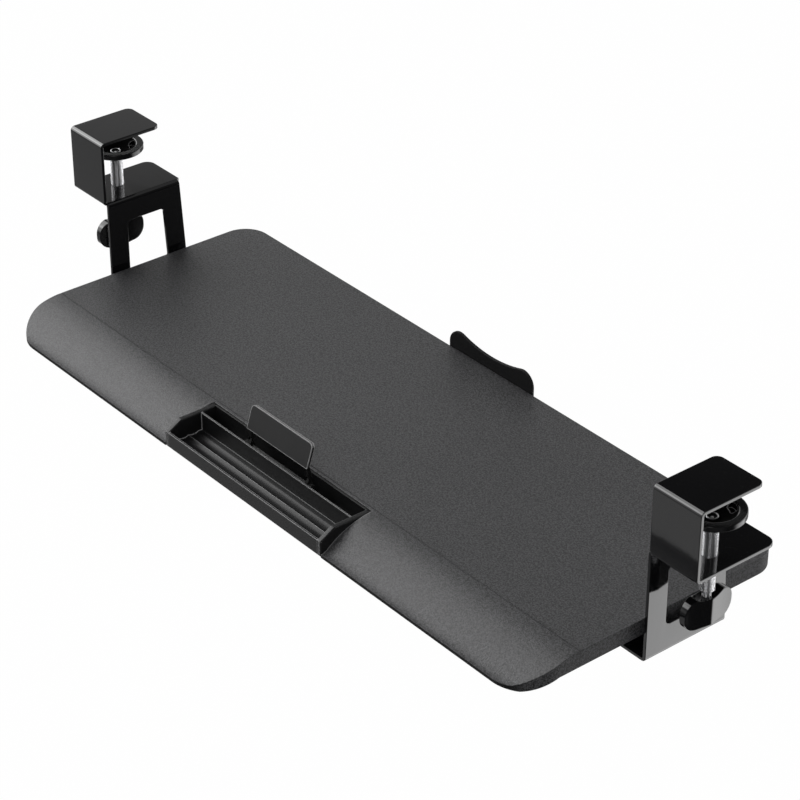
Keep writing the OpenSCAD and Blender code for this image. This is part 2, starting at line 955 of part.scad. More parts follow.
module knob_side() {
  r = min(knob_corner_r, knob_h / 2 - blend);
  y = knob_l / 2 - r;
  z = knob_h / 2 - r;
  rounded([[-y, -z], [y, -z], [y, z], [-y, z]], [r, r, r, r]);
}

module wing_knob() {
  half = knob_dip_w / 2;
  saddle_r = (half * half + knob_dip * knob_dip) / (2 * knob_dip);
  color(BLACK_PLASTIC) difference() {
    intersection() {
      on_screw(knob_low) linear_extrude(height = knob_h) knob_plan();
      on_screw(knob_low + knob_h / 2) along_x(4 * knob_hub) knob_side();
    }
    on_screw(knob_top - knob_grip) cylinder(r = neck_r + fast_clear, h = knob_grip + eps);
    on_screw(knob_top - knob_dip + saddle_r) rotate([0, 90, 0])
      cylinder(r = saddle_r, h = 4 * knob_hub, center = true);
  }
}

module left_clamp_bracket() { left() clamp_bracket(); }
module right_clamp_bracket() { clamp_bracket(); }
module left_thread_bush() { left() thread_bush(); }
module right_thread_bush() { thread_bush(); }
module left_fixed_rail() { left() fixed_rail(); }
module right_fixed_rail() { fixed_rail(); }
module left_rail_rivets() { left() rail_rivets(); }
module right_rail_rivets() { rail_rivets(); }
module left_moving_rail() { left() moving_rail(); }
module right_moving_rail() { moving_rail(); }
module left_rail_screws() { left() rail_screws(); }
module right_rail_screws() { rail_screws(); }
module left_ball_cage() { left() ball_cage(); }
module right_ball_cage() { ball_cage(); }
module left_rail_balls() { left() rail_balls(); }
module right_rail_balls() { rail_balls(); }
module left_clamp_screw() { left() clamp_screw(); }
module right_clamp_screw() { clamp_screw(); }
module left_swivel_stud() { left() swivel_stud(); }
module right_swivel_stud() { swivel_stud(); }
module left_pressure_pad() { translate([-2 * axis_x, 0, 0]) pressure_pad(); }
module right_pressure_pad() { pressure_pad(); }
module left_wing_knob() { left() wing_knob(); }
module right_wing_knob() { wing_knob(); }

tray_board();
pen_tray();
pen_tray_screws();
phone_flap();
flap_pin();
rear_stop();
rear_stop_screws();
left_clamp_bracket();
right_clamp_bracket();
left_thread_bush();
right_thread_bush();
left_fixed_rail();
right_fixed_rail();
left_rail_rivets();
right_rail_rivets();
left_moving_rail();
right_moving_rail();
left_rail_screws();
right_rail_screws();
left_ball_cage();
right_ball_cage();
left_rail_balls();
right_rail_balls();
left_clamp_screw();
right_clamp_screw();
left_swivel_stud();
right_swivel_stud();
left_pressure_pad();
right_pressure_pad();
left_wing_knob();
right_wing_knob();
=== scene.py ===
import math

import bmesh
import bpy
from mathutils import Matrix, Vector


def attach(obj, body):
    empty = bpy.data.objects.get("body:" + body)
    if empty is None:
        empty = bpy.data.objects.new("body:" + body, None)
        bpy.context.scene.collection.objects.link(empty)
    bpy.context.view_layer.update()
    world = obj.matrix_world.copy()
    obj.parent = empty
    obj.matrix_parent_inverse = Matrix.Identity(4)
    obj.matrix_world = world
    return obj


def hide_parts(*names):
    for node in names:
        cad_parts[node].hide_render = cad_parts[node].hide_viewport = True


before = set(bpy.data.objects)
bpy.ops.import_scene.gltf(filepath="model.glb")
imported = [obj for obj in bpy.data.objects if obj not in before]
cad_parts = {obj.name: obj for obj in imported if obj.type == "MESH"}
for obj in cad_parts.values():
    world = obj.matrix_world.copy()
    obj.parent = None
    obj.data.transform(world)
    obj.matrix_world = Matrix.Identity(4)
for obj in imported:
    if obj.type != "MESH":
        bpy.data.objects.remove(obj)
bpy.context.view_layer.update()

# Sizes in millimetres, in the part's own frame: desk edge at the origin, desk towards +Y.
MM = 0.001
SIDES = {"left": -1, "right": 1}

# The tray's pieces are drawn with the middle of the board's top rear edge at the origin.
REAR_Y, TOP_Z = 151.0, -125.0
TRAY_W, TRAY_D, TRAY_T, TRAY_EDGE = 700.0, 269.0, 15.0, 0.5
REAR_R, FRONT_R = 25.0, 36.0
SLOPE_D, BROW_R, HOLLOW_R, LIP_T = 55.0, 78.0, 9.0, 3.4
SLOPE_SLICES = 44
UNDER_START, UNDER_END = 20.0, 47.0
CREASE_Y = SLOPE_D - TRAY_D
CREASE_HALF, CREASE_DEPTH = 0.6, 0.4
LIP_Z = math.sqrt((BROW_R + HOLLOW_R) ** 2 - SLOPE_D ** 2) - BROW_R - HOLLOW_R
JOIN_S = SLOPE_D * BROW_R / (BROW_R + HOLLOW_R)

PEN_HALF, PEN_WALL, PEN_SIDE = 107.0, 2.0, 5.0
PEN_FRONT, PEN_REAR = -268.7, -217.2
PEN_LOW, PEN_FLOOR = -22.7, -18.1
PEN_RIM, PEN_LIP, PEN_RAKE = -0.5, -8.3, 13.7
PEN_EDGE, PEN_FOOT_R, PEN_INSET = 0.25, 0.8, 0.02
CELL_R, SLOT_R = 1.0, 0.6
DIVIDER_Y, DIVIDER_T, DIVIDER_Z = -234.4, 1.6, -1.5
SLOT_REAR = PEN_REAR - PEN_WALL
GROOVE_W, GROOVE_DEPTH = 10.0, 1.2
GROOVE_REAR = DIVIDER_Y - 4.2
RIDGE_Y = GROOVE_REAR - GROOVE_W
NOTCH_ROOM = 0.2
NOTCH_HALF, NOTCH_REAR = PEN_HALF + NOTCH_ROOM, PEN_REAR + NOTCH_ROOM
EAR_REACH, EAR_FRONT, EAR_T, EAR_R = 12.0, -231.0, 2.5, 3.0

PIN_Y, PIN_Z, PIN_R = -229.0, -5.0, 1.5
FLAP_HALF, FLAP_LOW, FLAP_TOP, FLAP_FACE, FLAP_T = 41.0, 15.2, 37.5, 7.5, 3.0
FLAP_EDGE, FLAP_LOW_R, FLAP_TOP_R = 0.2, 1.2, 4.5
FLAP_LEAN = math.radians(17.8)
LUG_R, LUG_T, LUG_X, LUG_ROOM = 2.6, 4.0, FLAP_HALF + 2.5, 0.03
ARM_R, ARM_T, ARM_X, ARM_ROOM = 3.2, 4.0, FLAP_HALF - 2, 0.05

STOP_HALF, STOP_T, STOP_EDGE = 54.5, 3.0, 0.7
STOP_SCREWS_X, STOP_SCREW_L = (-38.5, 38.5), 13.0
PEN_SCREWS, PEN_SCREW_L = ((113, -224.1), (-113, -224.1), (71.33, -211.2), (-71.33, -211.2)), 10.0

PANEL_IN, PANEL_OUT, JAW_OUT = 355.5, 358.5, 408.2
SHEET, SHEET_EDGE, BEND, WEB_ROOM = 3.0, 0.45, 4.0, 2.2
JAW_GAP, JAW_TOP_L, JAW_LOW_L = 57.0, 60.0, 78.5
JAW_TOP_R, JAW_LOW_R, FLANGE_R = 6.5, 9.0, 5.0
FLANGE_IN, FLANGE_LOW = 308.5, -159.5
PANEL_TOP_Y, PANEL_REAR_Y = 76.0, 82.0
WINDOW_TOP, WINDOW_LOW, WINDOW_FRONT, WINDOW_REAR, WINDOW_R = -80.0, -133.5, 17.0, 20.2, 4.5
BUSH_BORE_R = 6.5
RAIL_X, RIVETS_Y = 318.0, (18, 64)

AXIS_X, AXIS_Y = 387.1, 28.5
ROD_R, ROD_TOP, SHOULDER_Z = 6.0, -29.55, -89.0
NECK_R, NECK_LOW = 3.7, -110.8
PAD_R, PAD_TOP, RIM_LOW, DISH_Z, PAD_LOW = 25.99, -16.4, -21.4, -24.7, -29.5
LAND_R, FLARE_R, SEAM_R, FOOT_R, DISH_R, PAD_BORE_R = 20.0, 22.0, 19.1, 9.0, 7.0, 4.05
DISH_FALL = (PAD_TOP - DISH_Z) / (LAND_R - DISH_R)
STUD_R, RING_R, WELL_R, NIB_R = 4.0, 4.9, 3.9, 1.2
RING_LOW, RING_TOP, WELL_Z, NIB_TOP = -24.65, -23.25, -26.4, -24.5
KNOB_HALF, KNOB_TALL, KNOB_CORNER, KNOB_EDGE = 24.5, 13.1, 11.5, 0.8
KNOB_HUB, KNOB_TIP, KNOB_Z = 7.0, 3.0, -105.3
KNOB_DIP, KNOB_DIP_HALF = 2.25, 13.0

# Merge distances: corners of a plate, and corners that a cut or a turned ring leaves double.
PLATE_WELD, FINE_WELD = 0.002, 1e-4
TINY = 1e-6


# Mesh helpers: everything is drawn in millimetres and scaled once, in to_piece.

def arc(cx, cy, r, start, end, steps):
    """Points along an arc, with its angles in degrees."""
    angles = [math.radians(start + (end - start) * i / steps) for i in range(steps + 1)]
    return [(cx + r * math.cos(a), cy + r * math.sin(a)) for a in angles]


def circle(cx, cy, r, steps):
    return arc(cx, cy, r, 0, 360 - 360 / steps, steps - 1)


def oblong(half, low, high):
    return [(-half, low), (half, low), (half, high), (-half, high)]


def round_corners(points, radii, steps):
    """Polygon with each corner replaced by an arc of its radius, with steps in a quarter turn."""
    out = []
    count = len(points)
    for i, r in enumerate(radii):
        here = Vector(points[i])
        if r <= 0:
            out.append(tuple(here))
            continue
        back = (Vector(points[i - 1]) - here).normalized()
        ahead = (Vector(points[(i + 1) % count]) - here).normalized()
        half = back.angle(ahead) / 2
        centre = here + (back + ahead).normalized() * (r / math.sin(half))
        a = here + back * (r / math.tan(half)) - centre
        b = here + ahead * (r / math.tan(half)) - centre
        start = math.atan2(a.y, a.x)
        sweep = (math.atan2(b.y, b.x) - start + math.pi) % (2 * math.pi) - math.pi
        n = max(2, round(steps * abs(sweep) / (math.pi / 2)))
        for k in range(n + 1):
            t = start + sweep * k / n
            out.append((centre.x + r * math.cos(t), centre.y + r * math.sin(t)))
    return out


def linked(name, data):
    """New object for the data, in the scene."""
    obj = bpy.data.objects.new(name, data)
    bpy.context.scene.collection.objects.link(obj)
    return obj


def shape_of(obj):
    """The shape that an object's curve settings or modifiers give."""
    bpy.context.view_layer.update()
    mesh = bpy.data.meshes.new_from_object(
        obj.evaluated_get(bpy.context.evaluated_depsgraph_get())
    )
    bm = bmesh.new()
    bm.from_mesh(mesh)
    bpy.data.meshes.remove(mesh)
    return bm


def plate(outline, thick, edge, holes=(), steps=2):
    """Flat plate with rounded edges round its outline and holes, middle plane at z = 0."""
    curve = bpy.data.curves.new("plate", "CURVE")
    curve.dimensions = "2D"
    curve.fill_mode = "BOTH"
    curve.extrude = thick / 2 - edge
    curve.bevel_depth = edge
    curve.bevel_resolution = steps
    curve.offset = -edge
    for loop in [outline, *holes]:
        spline = curve.splines.new("POLY")
        spline.points.add(len(loop) - 1)
        for point, (x, y) in zip(spline.points, loop):
            point.co = (x, y, 0, 1)
        spline.use_cyclic_u = True
    holder = linked("plate", curve)
    bm = shape_of(holder)
    bpy.data.objects.remove(holder)
    bpy.data.curves.remove(curve)
    bmesh.ops.remove_doubles(bm, verts=bm.verts, dist=PLATE_WELD)
    return bm


def slice_across(bm, axis, places):
    """Adds edges where planes across the axis meet the shape."""
    normal = Vector((0, 0, 0))
    normal[axis] = 1
    for place in places:
        bmesh.ops.bisect_plane(
            bm, geom=bm.verts[:] + bm.edges[:] + bm.faces[:], dist=FINE_WELD,
            plane_co=normal * place, plane_no=normal,
        )


def shift(bm, change):
    """Moves each corner to the place that change gives for it."""
    for v in bm.verts:
        v.co = Vector(change(*v.co))
    return bm


def upright_pair(outline, thick, edge, middle, holes=(), steps=2):
    """Two plates drawn in Y-Z, with their middle planes at X = -middle and X = middle."""
    pair = []
    for sign in SIDES.values():
        one = plate(outline, thick, edge, holes, steps)
        pair.append(shift(one, lambda x, y, z: (z + sign * middle, x, y)))
    return pair


def lathe(profile, steps, at=(0, 0, 0)):
    """Solid of revolution about Z from (radius, height) points."""
    bm = bmesh.new()
    rings = []
    for r, z in profile:
        if r < TINY:
            rings.append([bm.verts.new((at[0], at[1], at[2] + z))])
            continue
        rings.append([
            bm.verts.new((at[0] + r * math.cos(2 * math.pi * k / steps),
                          at[1] + r * math.sin(2 * math.pi * k / steps), at[2] + z))
            for k in range(steps)
        ])
    for low, high in zip(rings, rings[1:]):
        for k in range(steps):
            j = (k + 1) % steps
            if len(low) == 1:
                bm.faces.new((low[0], high[j], high[k]))
            elif len(high) == 1:
                bm.faces.new((low[k], low[j], high[0]))
            else:
                bm.faces.new((low[k], low[j], high[j], high[k]))
    bmesh.ops.recalc_face_normals(bm, faces=bm.faces)
    return bm


def turned_ring(section, steps, at):
    """Solid of revolution about Z from a closed section that stays off the axis."""
    bm = lathe(section + section[:1], steps, at)
    bmesh.ops.remove_doubles(bm, verts=bm.verts, dist=FINE_WELD)
    bmesh.ops.recalc_face_normals(bm, faces=bm.faces)
    return bm


def loft(rings):
    """Skin over rings of equally many points, closed at both ends."""
    bm = bmesh.new()
    rows = [[bm.verts.new(p) for p in ring] for ring in rings]
    count = len(rows[0])
    for low, high in zip(rows, rows[1:]):
        for k in range(count):
            j = (k + 1) % count
            bm.faces.new((low[k], low[j], high[j], high[k]))
    bm.faces.new(rows[0])
    bm.faces.new(rows[-1])
    bmesh.ops.recalc_face_normals(bm, faces=bm.faces)
    return bm


def prism(outline, low, high):
    """Y-Z outline drawn along X from low to high."""
    return loft([[(x, y, z) for y, z in outline] for x in (low, high)])


def bend_path(legs):
    """Side view of a strip bent along legs of (length, turn), where a turn above 0 goes up.
    Gives the function that takes the run along the flat strip and the height over its middle
    to the place ahead and up."""
    starts = []
    point, angle, reach = Vector((0, 0)), 0.0, 0.0

    def onward(point, angle, length, turn, run):
        if turn == 0:
            return point + Vector((math.cos(angle), math.sin(angle))) * run, angle
        r = length / turn
        centre = point + Vector((-math.sin(angle), math.cos(angle))) * r
        angle += run / r
        return centre - Vector((-math.sin(angle), math.cos(angle))) * r, angle

    for length, turn in legs:
        starts.append((reach, length, turn, point, angle))
        point, angle = onward(point, angle, length, turn, length)
        reach += length

    def place(run, over):
        reach, length, turn, point, angle = next(
            (leg for leg in starts if run <= leg[0] + leg[1] + TINY), starts[-1]
        )
        point, angle = onward(point, angle, length, turn, run - reach)
        return point + Vector((-math.sin(angle), math.cos(angle))) * over

    return place


def joined(*parts):
    """One bmesh from several."""
    out = bmesh.new()
    for part in parts:
        mesh = bpy.data.meshes.new("part")
        part.to_mesh(mesh)
        out.from_mesh(mesh)
        bpy.data.meshes.remove(mesh)
        part.free()
    return out


def mirrored(bm):
    """The same shape on the other side of the tray."""
    shift(bm, lambda x, y, z: (-x, y, z))
    bmesh.ops.reverse_faces(bm, faces=bm.faces)
    return bm


def carved(bm, cutter):
    """bm less the cutter."""
    pair = []
    for part in (bm, cutter):
        mesh = bpy.data.meshes.new("carve")
        part.to_mesh(mesh)
        part.free()
        pair.append(linked("carve", mesh))
    cut = pair[0].modifiers.new("cut", "BOOLEAN")
    cut.operation = "DIFFERENCE"
    cut.object = pair[1]
    cut.solver = "EXACT"
    out = shape_of(pair[0])
    for obj in pair:
        old = obj.data
        bpy.data.objects.remove(obj)
        bpy.data.meshes.remove(old)
    return out


def to_piece(bm, name, body, finish, nodes, smooth=35):
    """Scales the shape to metres and makes it the shown piece for its nodes."""
    bmesh.ops.scale(bm, vec=(MM, MM, MM), verts=bm.verts)
    mesh = bpy.data.meshes.new(name)
    bm.to_mesh(mesh)
    bm.free()
    mesh.polygons.foreach_set("use_smooth", [True] * len(mesh.polygons))
    mesh.set_sharp_from_angle(angle=math.radians(smooth))
    mesh.materials.append(finish)
    piece = linked(name, mesh)
    weighted = piece.modifiers.new("weighted_normals", "WEIGHTED_NORMAL")
    weighted.keep_sharp = True
    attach(piece, body)
    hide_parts(*nodes)


def on_tray(bm):
    return shift(bm, lambda x, y, z: (x, y + REAR_Y, z + TOP_Z))


def on_axis(side):
    """A point on the clamp screw's axis."""
    return SIDES[side] * AXIS_X, AXIS_Y, 0


# Finishes: places and sizes in metres

class Wire:
    """A shader socket that can be used in sums."""

    def __init__(self, finish, socket):
        self.finish = finish
        self.socket = socket

    def _sum(self, operation, *terms):
        return self.finish.node("Math", {"operation": operation}, dict(enumerate(terms)))

    def __add__(self, other):
        return self._sum("ADD", self, other)

    __radd__ = __add__

    def __sub__(self, other):
        return self._sum("SUBTRACT", self, other)

    def __rsub__(self, other):
        return self._sum("SUBTRACT", other, self)

    def __mul__(self, other):
        return self._sum("MULTIPLY", self, other)

    __rmul__ = __mul__

    def __truediv__(self, other):
        return self._sum("DIVIDE", self, other)

    def __abs__(self):
        return self._sum("ABSOLUTE", self)


class Finish:
    """A material or world under construction."""

    def __init__(self, owner):
        owner.use_nodes = True
        self.owner = owner
        self.tree = owner.node_tree
        self.tree.nodes.clear()

    def node(self, kind, settings=None, inputs=None, out=0):
        """Adds a node with its settings and then the values or links of its sockets."""
        made = self.tree.nodes.new("ShaderNode" + kind)
        for key, value in (settings or {}).items():
            if key == "stops":
                ramp = made.color_ramp.elements
                while len(ramp) > 1:
                    ramp.remove(ramp[-1])
                ramp[0].position = value[0][0]
                for place, _ in value[1:]:
                    ramp.new(place)
                for stop, (_, shade) in zip(ramp, value):
                    stop.color = (shade, shade, shade, 1)
            else:
                setattr(made, key, value)
        for key, value in (inputs or {}).items():
            socket = made.inputs[key]
            if isinstance(value, Wire):
                self.tree.links.new(value.socket, socket)
            else:
                socket.default_value = value
        return Wire(self, made.outputs[out]) if made.outputs else None

    def place(self, scale=(1, 1, 1)):
        spot = self.node("TexCoord", out="Object")
        return self.node("Mapping", {}, {"Vector": spot, "Scale": scale})

    def part(self, vector, axis):
        return self.node("SeparateXYZ", {}, {"Vector": vector}, out=axis)

    def normal(self):
        return self.node("NewGeometry", out="Normal")

    def noise(self, where, size, detail, rough):
        """Noise from 0 to 1 with features about size metres across."""
        return self.node(
            "TexNoise", {"noise_dimensions": "3D"},
            {"Vector": where, "Scale": 1 / size, "Detail": detail, "Roughness": rough},
        )

    def mix(self, share, dark, light):
        dark, light = ((*c, 1) if isinstance(c, tuple) else c for c in (dark, light))
        return self.node("Mix", {"data_type": "RGBA"}, {0: share, 6: dark, 7: light}, out=2)

    def mix_shader(self, share, first, second):
        return self.node("MixShader", {}, {0: share, 1: first, 2: second})

    def bump(self, height, depth, strength):
        inputs = {"Height": height, "Distance": depth, "Strength": strength}
        return self.node("Bump", {}, inputs)

    def ramp(self, value, *stops):
        return self.node("ValToRGB", {"stops": stops}, {"Fac": value})

    def edge_wear_and_highlight(self, where, reach, full=0.80, none=0.96):
        """1 along edges and 0 elsewhere, with a ragged border: full and none are how far the
        rounded normal turns away. The finishes use it to paint edges paler, as wear and as painted
        highlight."""
        rounded = self.node("Bevel", {"samples": 8}, {"Radius": reach})
        match = self.node(
            "VectorMath", {"operation": "DOT_PRODUCT"}, {0: rounded, 1: self.normal()}, out="Value",
        )
        rub_and_shine = self.noise(where, 0.004, 3.0, 0.6)
        return self.ramp(match + 0.06 * (rub_and_shine - 0.5) * (1 - match), (full, 1.0), (none, 0.0))

    def shader(self, **sockets):
        names = {name.replace("_", " "): value for name, value in sockets.items()}
        return self.node("BsdfPrincipled", {}, names)

    def covered(self, shader):
        self.node("OutputMaterial", {}, {"Surface": shader})
        return self.owner

    def surface(self, **sockets):
        return self.covered(self.shader(**sockets))


def new_finish(name):
    return Finish(bpy.data.materials.new(name))


def charcoal_film():
    """Matte film on the board: pressed grain, faint clouding, edges paler by wear and painted
    highlight, a painted highlight along the notch's right edge, painted shade in the crease and on
    the front-facing lip, and a duller band on the upright edges, the lip and in the crease."""
    f = new_finish("charcoal_film")
    where = f.place()
    grain = f.noise(where, 0.0012, 2.0, 0.6)
    pits = f.noise(where, 0.0024, 2.0, 0.5)
    cloud = f.noise(where, 0.09, 3.0, 0.55)
    fleck = f.ramp(grain * 0.7 + pits * 0.3, (0.40, 0.0), (0.60, 1.0))
    hollow = f.mix(cloud, (0.010, 0.010, 0.0105), (0.014, 0.014, 0.0145))
    raised = f.mix(cloud, (0.069, 0.069, 0.072), (0.078, 0.078, 0.082))
    wear_and_highlight = f.edge_wear_and_highlight(where, 0.0012, 0.90, 0.99)

    # Masks by distance: the painted highlight along the notch's right edge, the crease and the lip
    per_2mm, per_10mm = 500, 100
    across, depth = f.part(where, "X"), f.part(where, "Y")
    # Painted highlight: a pale line on the notch's right cut edge only, in front of the notch's
    # rear.
    at_cut = f.ramp(abs(across - NOTCH_HALF * MM) * per_2mm, (0.4, 1.0), (0.7, 0.0))
    ahead_of_rear = ((NOTCH_REAR + REAR_Y) * MM - depth) * per_2mm
    at_cut = at_cut * f.ramp(ahead_of_rear, (0.0, 0.0), (1.0, 1.0))
    off_crease = abs(depth - (CREASE_Y + REAR_Y) * MM)
    at_crease = f.ramp(off_crease * per_2mm, (0.2, 1.0), (0.45, 0.0))
    to_lip = f.ramp((depth - (REAR_Y - TRAY_D) * MM) * per_10mm, (0.05, 1.0), (0.8, 0.0))

    # Edges paler by wear and painted highlight, plus the painted highlight on the notch's right
    # edge; none in the crease.
    paler_by_wear_and_highlight = (wear_and_highlight * 0.12 + at_cut * 0.85) * (1 - at_crease)
    # Painted shade: in the crease the grain is pushed halfway towards its dark tone.
    pressed = f.mix(fleck * (1 - 0.5 * at_crease), hollow, raised)
    shade = f.mix(paler_by_wear_and_highlight, pressed, (0.18, 0.18, 0.182))
    dents = f.bump(grain * 0.6 + pits * 0.4, 0.0004, 0.7)
    facing = f.normal()
    # Painted shade: faces turned to the front, the lip above all, are near-black in the dull band.
    front = f.ramp(-1 * f.part(facing, "Y"), (0.7, 0.0), (0.9, 1.0))
    upright = f.ramp(abs(f.part(facing, "Z")), (0.3, 1.0), (0.6, 0.0))
    dull = 1 - (1 - upright) * (1 - at_crease) * (1 - 0.6 * to_lip)
    face = f.shader(
        Base_Color=shade,
        Roughness=0.37 + 0.06 * cloud + 0.08 * grain,
        IOR=1.5,
        Normal=dents,
    )
    # The dull band: rougher, and near-black on front-facing faces as painted shade.
    band = f.shader(
        Base_Color=f.mix(front, shade, (0.006, 0.006, 0.006)),
        Roughness=0.60 + 0.08 * grain,
        IOR=1.35,
        Normal=dents,
    )
    return f.covered(f.mix_shader(dull, face, band))


def satin_plastic(name, dark, light, rough, rub_and_shine, reach=0.0007, ior=1.52, wear_and_highlight_end=None):
    """Moulded plastic with a fine sparked texture and edges lightened towards pale grey, as painted
    highlights along rims and outlines with a little wear. The last argument is an axis and the
    place on it where the paler edges end."""
    f = new_finish(name)
    where = f.place()
    spark = f.noise(where, 0.0006, 2.0, 0.6)
    flow = f.noise(where, 0.03, 3.0, 0.5)
    wear_and_highlight = f.edge_wear_and_highlight(where, reach, 0.90, 0.99)
    if wear_and_highlight_end is not None:
        axis, end = wear_and_highlight_end
        per_fifth_mm = 5000
        wear_and_highlight = wear_and_highlight * f.ramp((end - f.part(where, axis)) * per_fifth_mm, (0.0, 0.0), (1.0, 1.0))
    return f.surface(
        # Painted highlight with a little wear: edges mixed towards pale grey.
        Base_Color=f.mix(wear_and_highlight * rub_and_shine, f.mix(flow, dark, light), (0.48, 0.48, 0.485)),
        Roughness=rough + 0.1 * spark + 0.06 * flow - 0.06 * wear_and_highlight,
        IOR=ior,
        Normal=f.bump(spark, 0.00008, 0.5),
    )


def gloss_coat():
    """Gloss black coat on sheet steel, with a slight orange peel, dust, and paler edges, partly the
    coat thinned by wear and partly painted highlight.
    """
    f = new_finish("gloss_black_coat")
    where = f.place()
    peel = f.noise(where, 0.0035, 2.0, 0.45)
    wave = f.noise(where, 0.03, 2.0, 0.5)
    dust = f.ramp(f.noise(where, 0.0012, 2.0, 0.6), (0.62, 0.0), (0.80, 1.0))
    wear_and_highlight = f.edge_wear_and_highlight(where, 0.0008)
    coat = f.mix(dust * 0.3, (0.0045, 0.0045, 0.005), (0.03, 0.03, 0.032))
    return f.surface(
        # Edges towards pale grey: partly wear, partly painted highlight.
        Base_Color=f.mix(wear_and_highlight * 0.12, coat, (0.13, 0.13, 0.135)),
        Roughness=0.05 + 0.03 * wave + 0.08 * dust + 0.10 * wear_and_highlight,
        IOR=1.7,
        Normal=f.bump(peel * 0.5 + wave * 0.5, 0.00005, 0.3),
    )


def gloss_plastic():
    """Gloss black moulding of the knobs, with flow waves and light scuffs."""
    f = new_finish("gloss_black_plastic")
    where = f.place()
    flow = f.noise(where, 0.012, 3.0, 0.5)
    scuff = f.ramp(f.noise(f.place((1, 1, 6)), 0.0016, 3.0, 0.65), (0.62, 0.0), (0.80, 1.0))
    wear_and_highlight = f.edge_wear_and_highlight(where, 0.0008)
    black = f.mix(scuff * 0.3, (0.004, 0.004, 0.0045), (0.03, 0.03, 0.032))
    return f.surface(
        Base_Color=f.mix(wear_and_highlight * 0.3, black, (0.08, 0.08, 0.083)),
        Roughness=0.06 + 0.04 * flow + 0.10 * scuff,
        IOR=1.5,
        Normal=f.bump(flow, 0.00008, 0.3),
    )


def pad_plastic():
    """Hard black moulding of the pads' rims: smooth, with fine scuffs and paler edges, partly wear
    and partly painted highlight.
    """
    f = new_finish("smooth_pad_plastic")
    where = f.place()
    flow = f.noise(where, 0.008, 3.0, 0.5)
    scuff = f.ramp(f.noise(where, 0.0014, 3.0, 0.65), (0.56, 0.0), (0.74, 1.0))
    wear_and_highlight = f.edge_wear_and_highlight(where, 0.0006)
    black = f.mix(scuff * 0.4, (0.004, 0.004, 0.0045), (0.022, 0.022, 0.023))
    return f.surface(
        # Edges towards grey: partly wear, partly painted highlight.
        Base_Color=f.mix(wear_and_highlight * 0.5, black, (0.16, 0.16, 0.163)),
        Roughness=0.14 + 0.05 * flow + 0.08 * scuff,
        IOR=1.48,
        Normal=f.bump(flow * 0.7 + scuff * 0.3, 0.00006, 0.4),
    )


def black_oxide():
    """Dull blackened steel of the flap's pin, and a dark lining in the wells of the swivel rivets
    as painted shade.
    """
    f = new_finish("black_oxide_steel")
    cloud = f.noise(f.place(), 0.003, 3.0, 0.6)
    lines = f.noise(f.place((0.05, 1, 1)), 0.0003, 2.0, 0.6)
    return f.surface(
        Base_Color=f.mix(cloud, (0.006, 0.006, 0.006), (0.012, 0.012, 0.012)),
        Roughness=0.55 + 0.15 * cloud + 0.05 * lines,
        IOR=1.45,
        Normal=f.bump(lines, 0.00003, 0.3),
    )


def bright_plate():
    """Bright plating on the clamp screws and the slides' balls, with fine turning lines."""
    f = new_finish("bright_plate")
    pitch = 0.0004
    lines = f.node(
        "TexWave", {"bands_direction": "Z"},
        {"Vector": f.place(), "Scale": math.pi / (10 * pitch)}, out="Fac",
    )
    haze = f.noise(f.place(), 0.006, 3.0, 0.6)
    return f.surface(
        Base_Color=f.mix(haze, (0.74, 0.74, 0.76), (0.86, 0.86, 0.88)),
        Metallic=1.0,
        Roughness=0.10 + 0.06 * haze + 0.04 * lines,
        Normal=f.bump(lines, 0.00012, 0.8),
    )


def zinc(name, dark, light):
    """Zinc-plated steel with a drawn grain along the slide."""
    f = new_finish(name)
    draw = f.noise(f.place((1, 0.03, 1)), 0.0004, 3.0, 0.6)
    cloud = f.noise(f.place(), 0.012, 3.0, 0.6)
    return f.surface(
        Base_Color=f.mix(cloud, dark, light),
        Metallic=1.0,
        Roughness=0.30 + 0.14 * draw + 0.08 * cloud,
        Normal=f.bump(draw, 0.00004, 0.4),
    )


PEN_SHADES = ((0.008, 0.008, 0.0085), (0.013, 0.013, 0.0135))
STOP_SHADES = ((0.006, 0.006, 0.0063), (0.010, 0.010, 0.0104))
# Painted shade: near-black tones for the pads' dishes, darker than the rim plastic, for the recess
# under the jaw.
DISH_SHADES = ((0.0012, 0.0012, 0.0012), (0.002, 0.002, 0.002))
# Painted shade: near-black tones for the flap's lugs and arms, darker than the pen tray and flap
# plastic they belong to, because they sit in shade.
PIVOT_SHADES = ((0.003, 0.003, 0.003), (0.005, 0.005, 0.005))
# Where the painted edge highlights end: in front of the pen tray's rear rim, and below the top of
# the dish's slope.
PEN_WEAR_AND_HIGHLIGHT_END = ("Y", -0.0690)
DISH_WEAR_AND_HIGHLIGHT_END = ("Z", (PAD_TOP - 1.5 * DISH_FALL) * MM)

FILM = charcoal_film()
# The pen tray's rims and the flap's outline get painted highlights along their edges.
PEN = satin_plastic("satin_pen_plastic", *PEN_SHADES, 0.26, 0.9, 0.0013, 1.42, PEN_WEAR_AND_HIGHLIGHT_END)
FLAP = satin_plastic("satin_flap_plastic", *PEN_SHADES, 0.26, 1.0, 0.0016)
STOP = satin_plastic("matte_stop_plastic", *STOP_SHADES, 0.60, 0.01, ior=1.25)
COAT = gloss_coat()
GLOSS = gloss_plastic()
PAD = pad_plastic()
# The pads' dishes: near-black as painted shade, with painted highlights on the slot edges.
DISH = satin_plastic("matte_dish_plastic", *DISH_SHADES, 0.7, 1.0, 0.0012, 1.08, DISH_WEAR_AND_HIGHLIGHT_END)
PIVOT = satin_plastic("matte_pivot_plastic", *PIVOT_SHADES, 0.6, 0.03, 0.0005, 1.25)
OXIDE = black_oxide()
PLATE = bright_plate()
RAIL = zinc("zinc_rail", (0.46, 0.47, 0.49), (0.58, 0.59, 0.60))
STEEL = zinc("plain_steel", (0.55, 0.55, 0.56), (0.70, 0.70, 0.71))


# Tray board

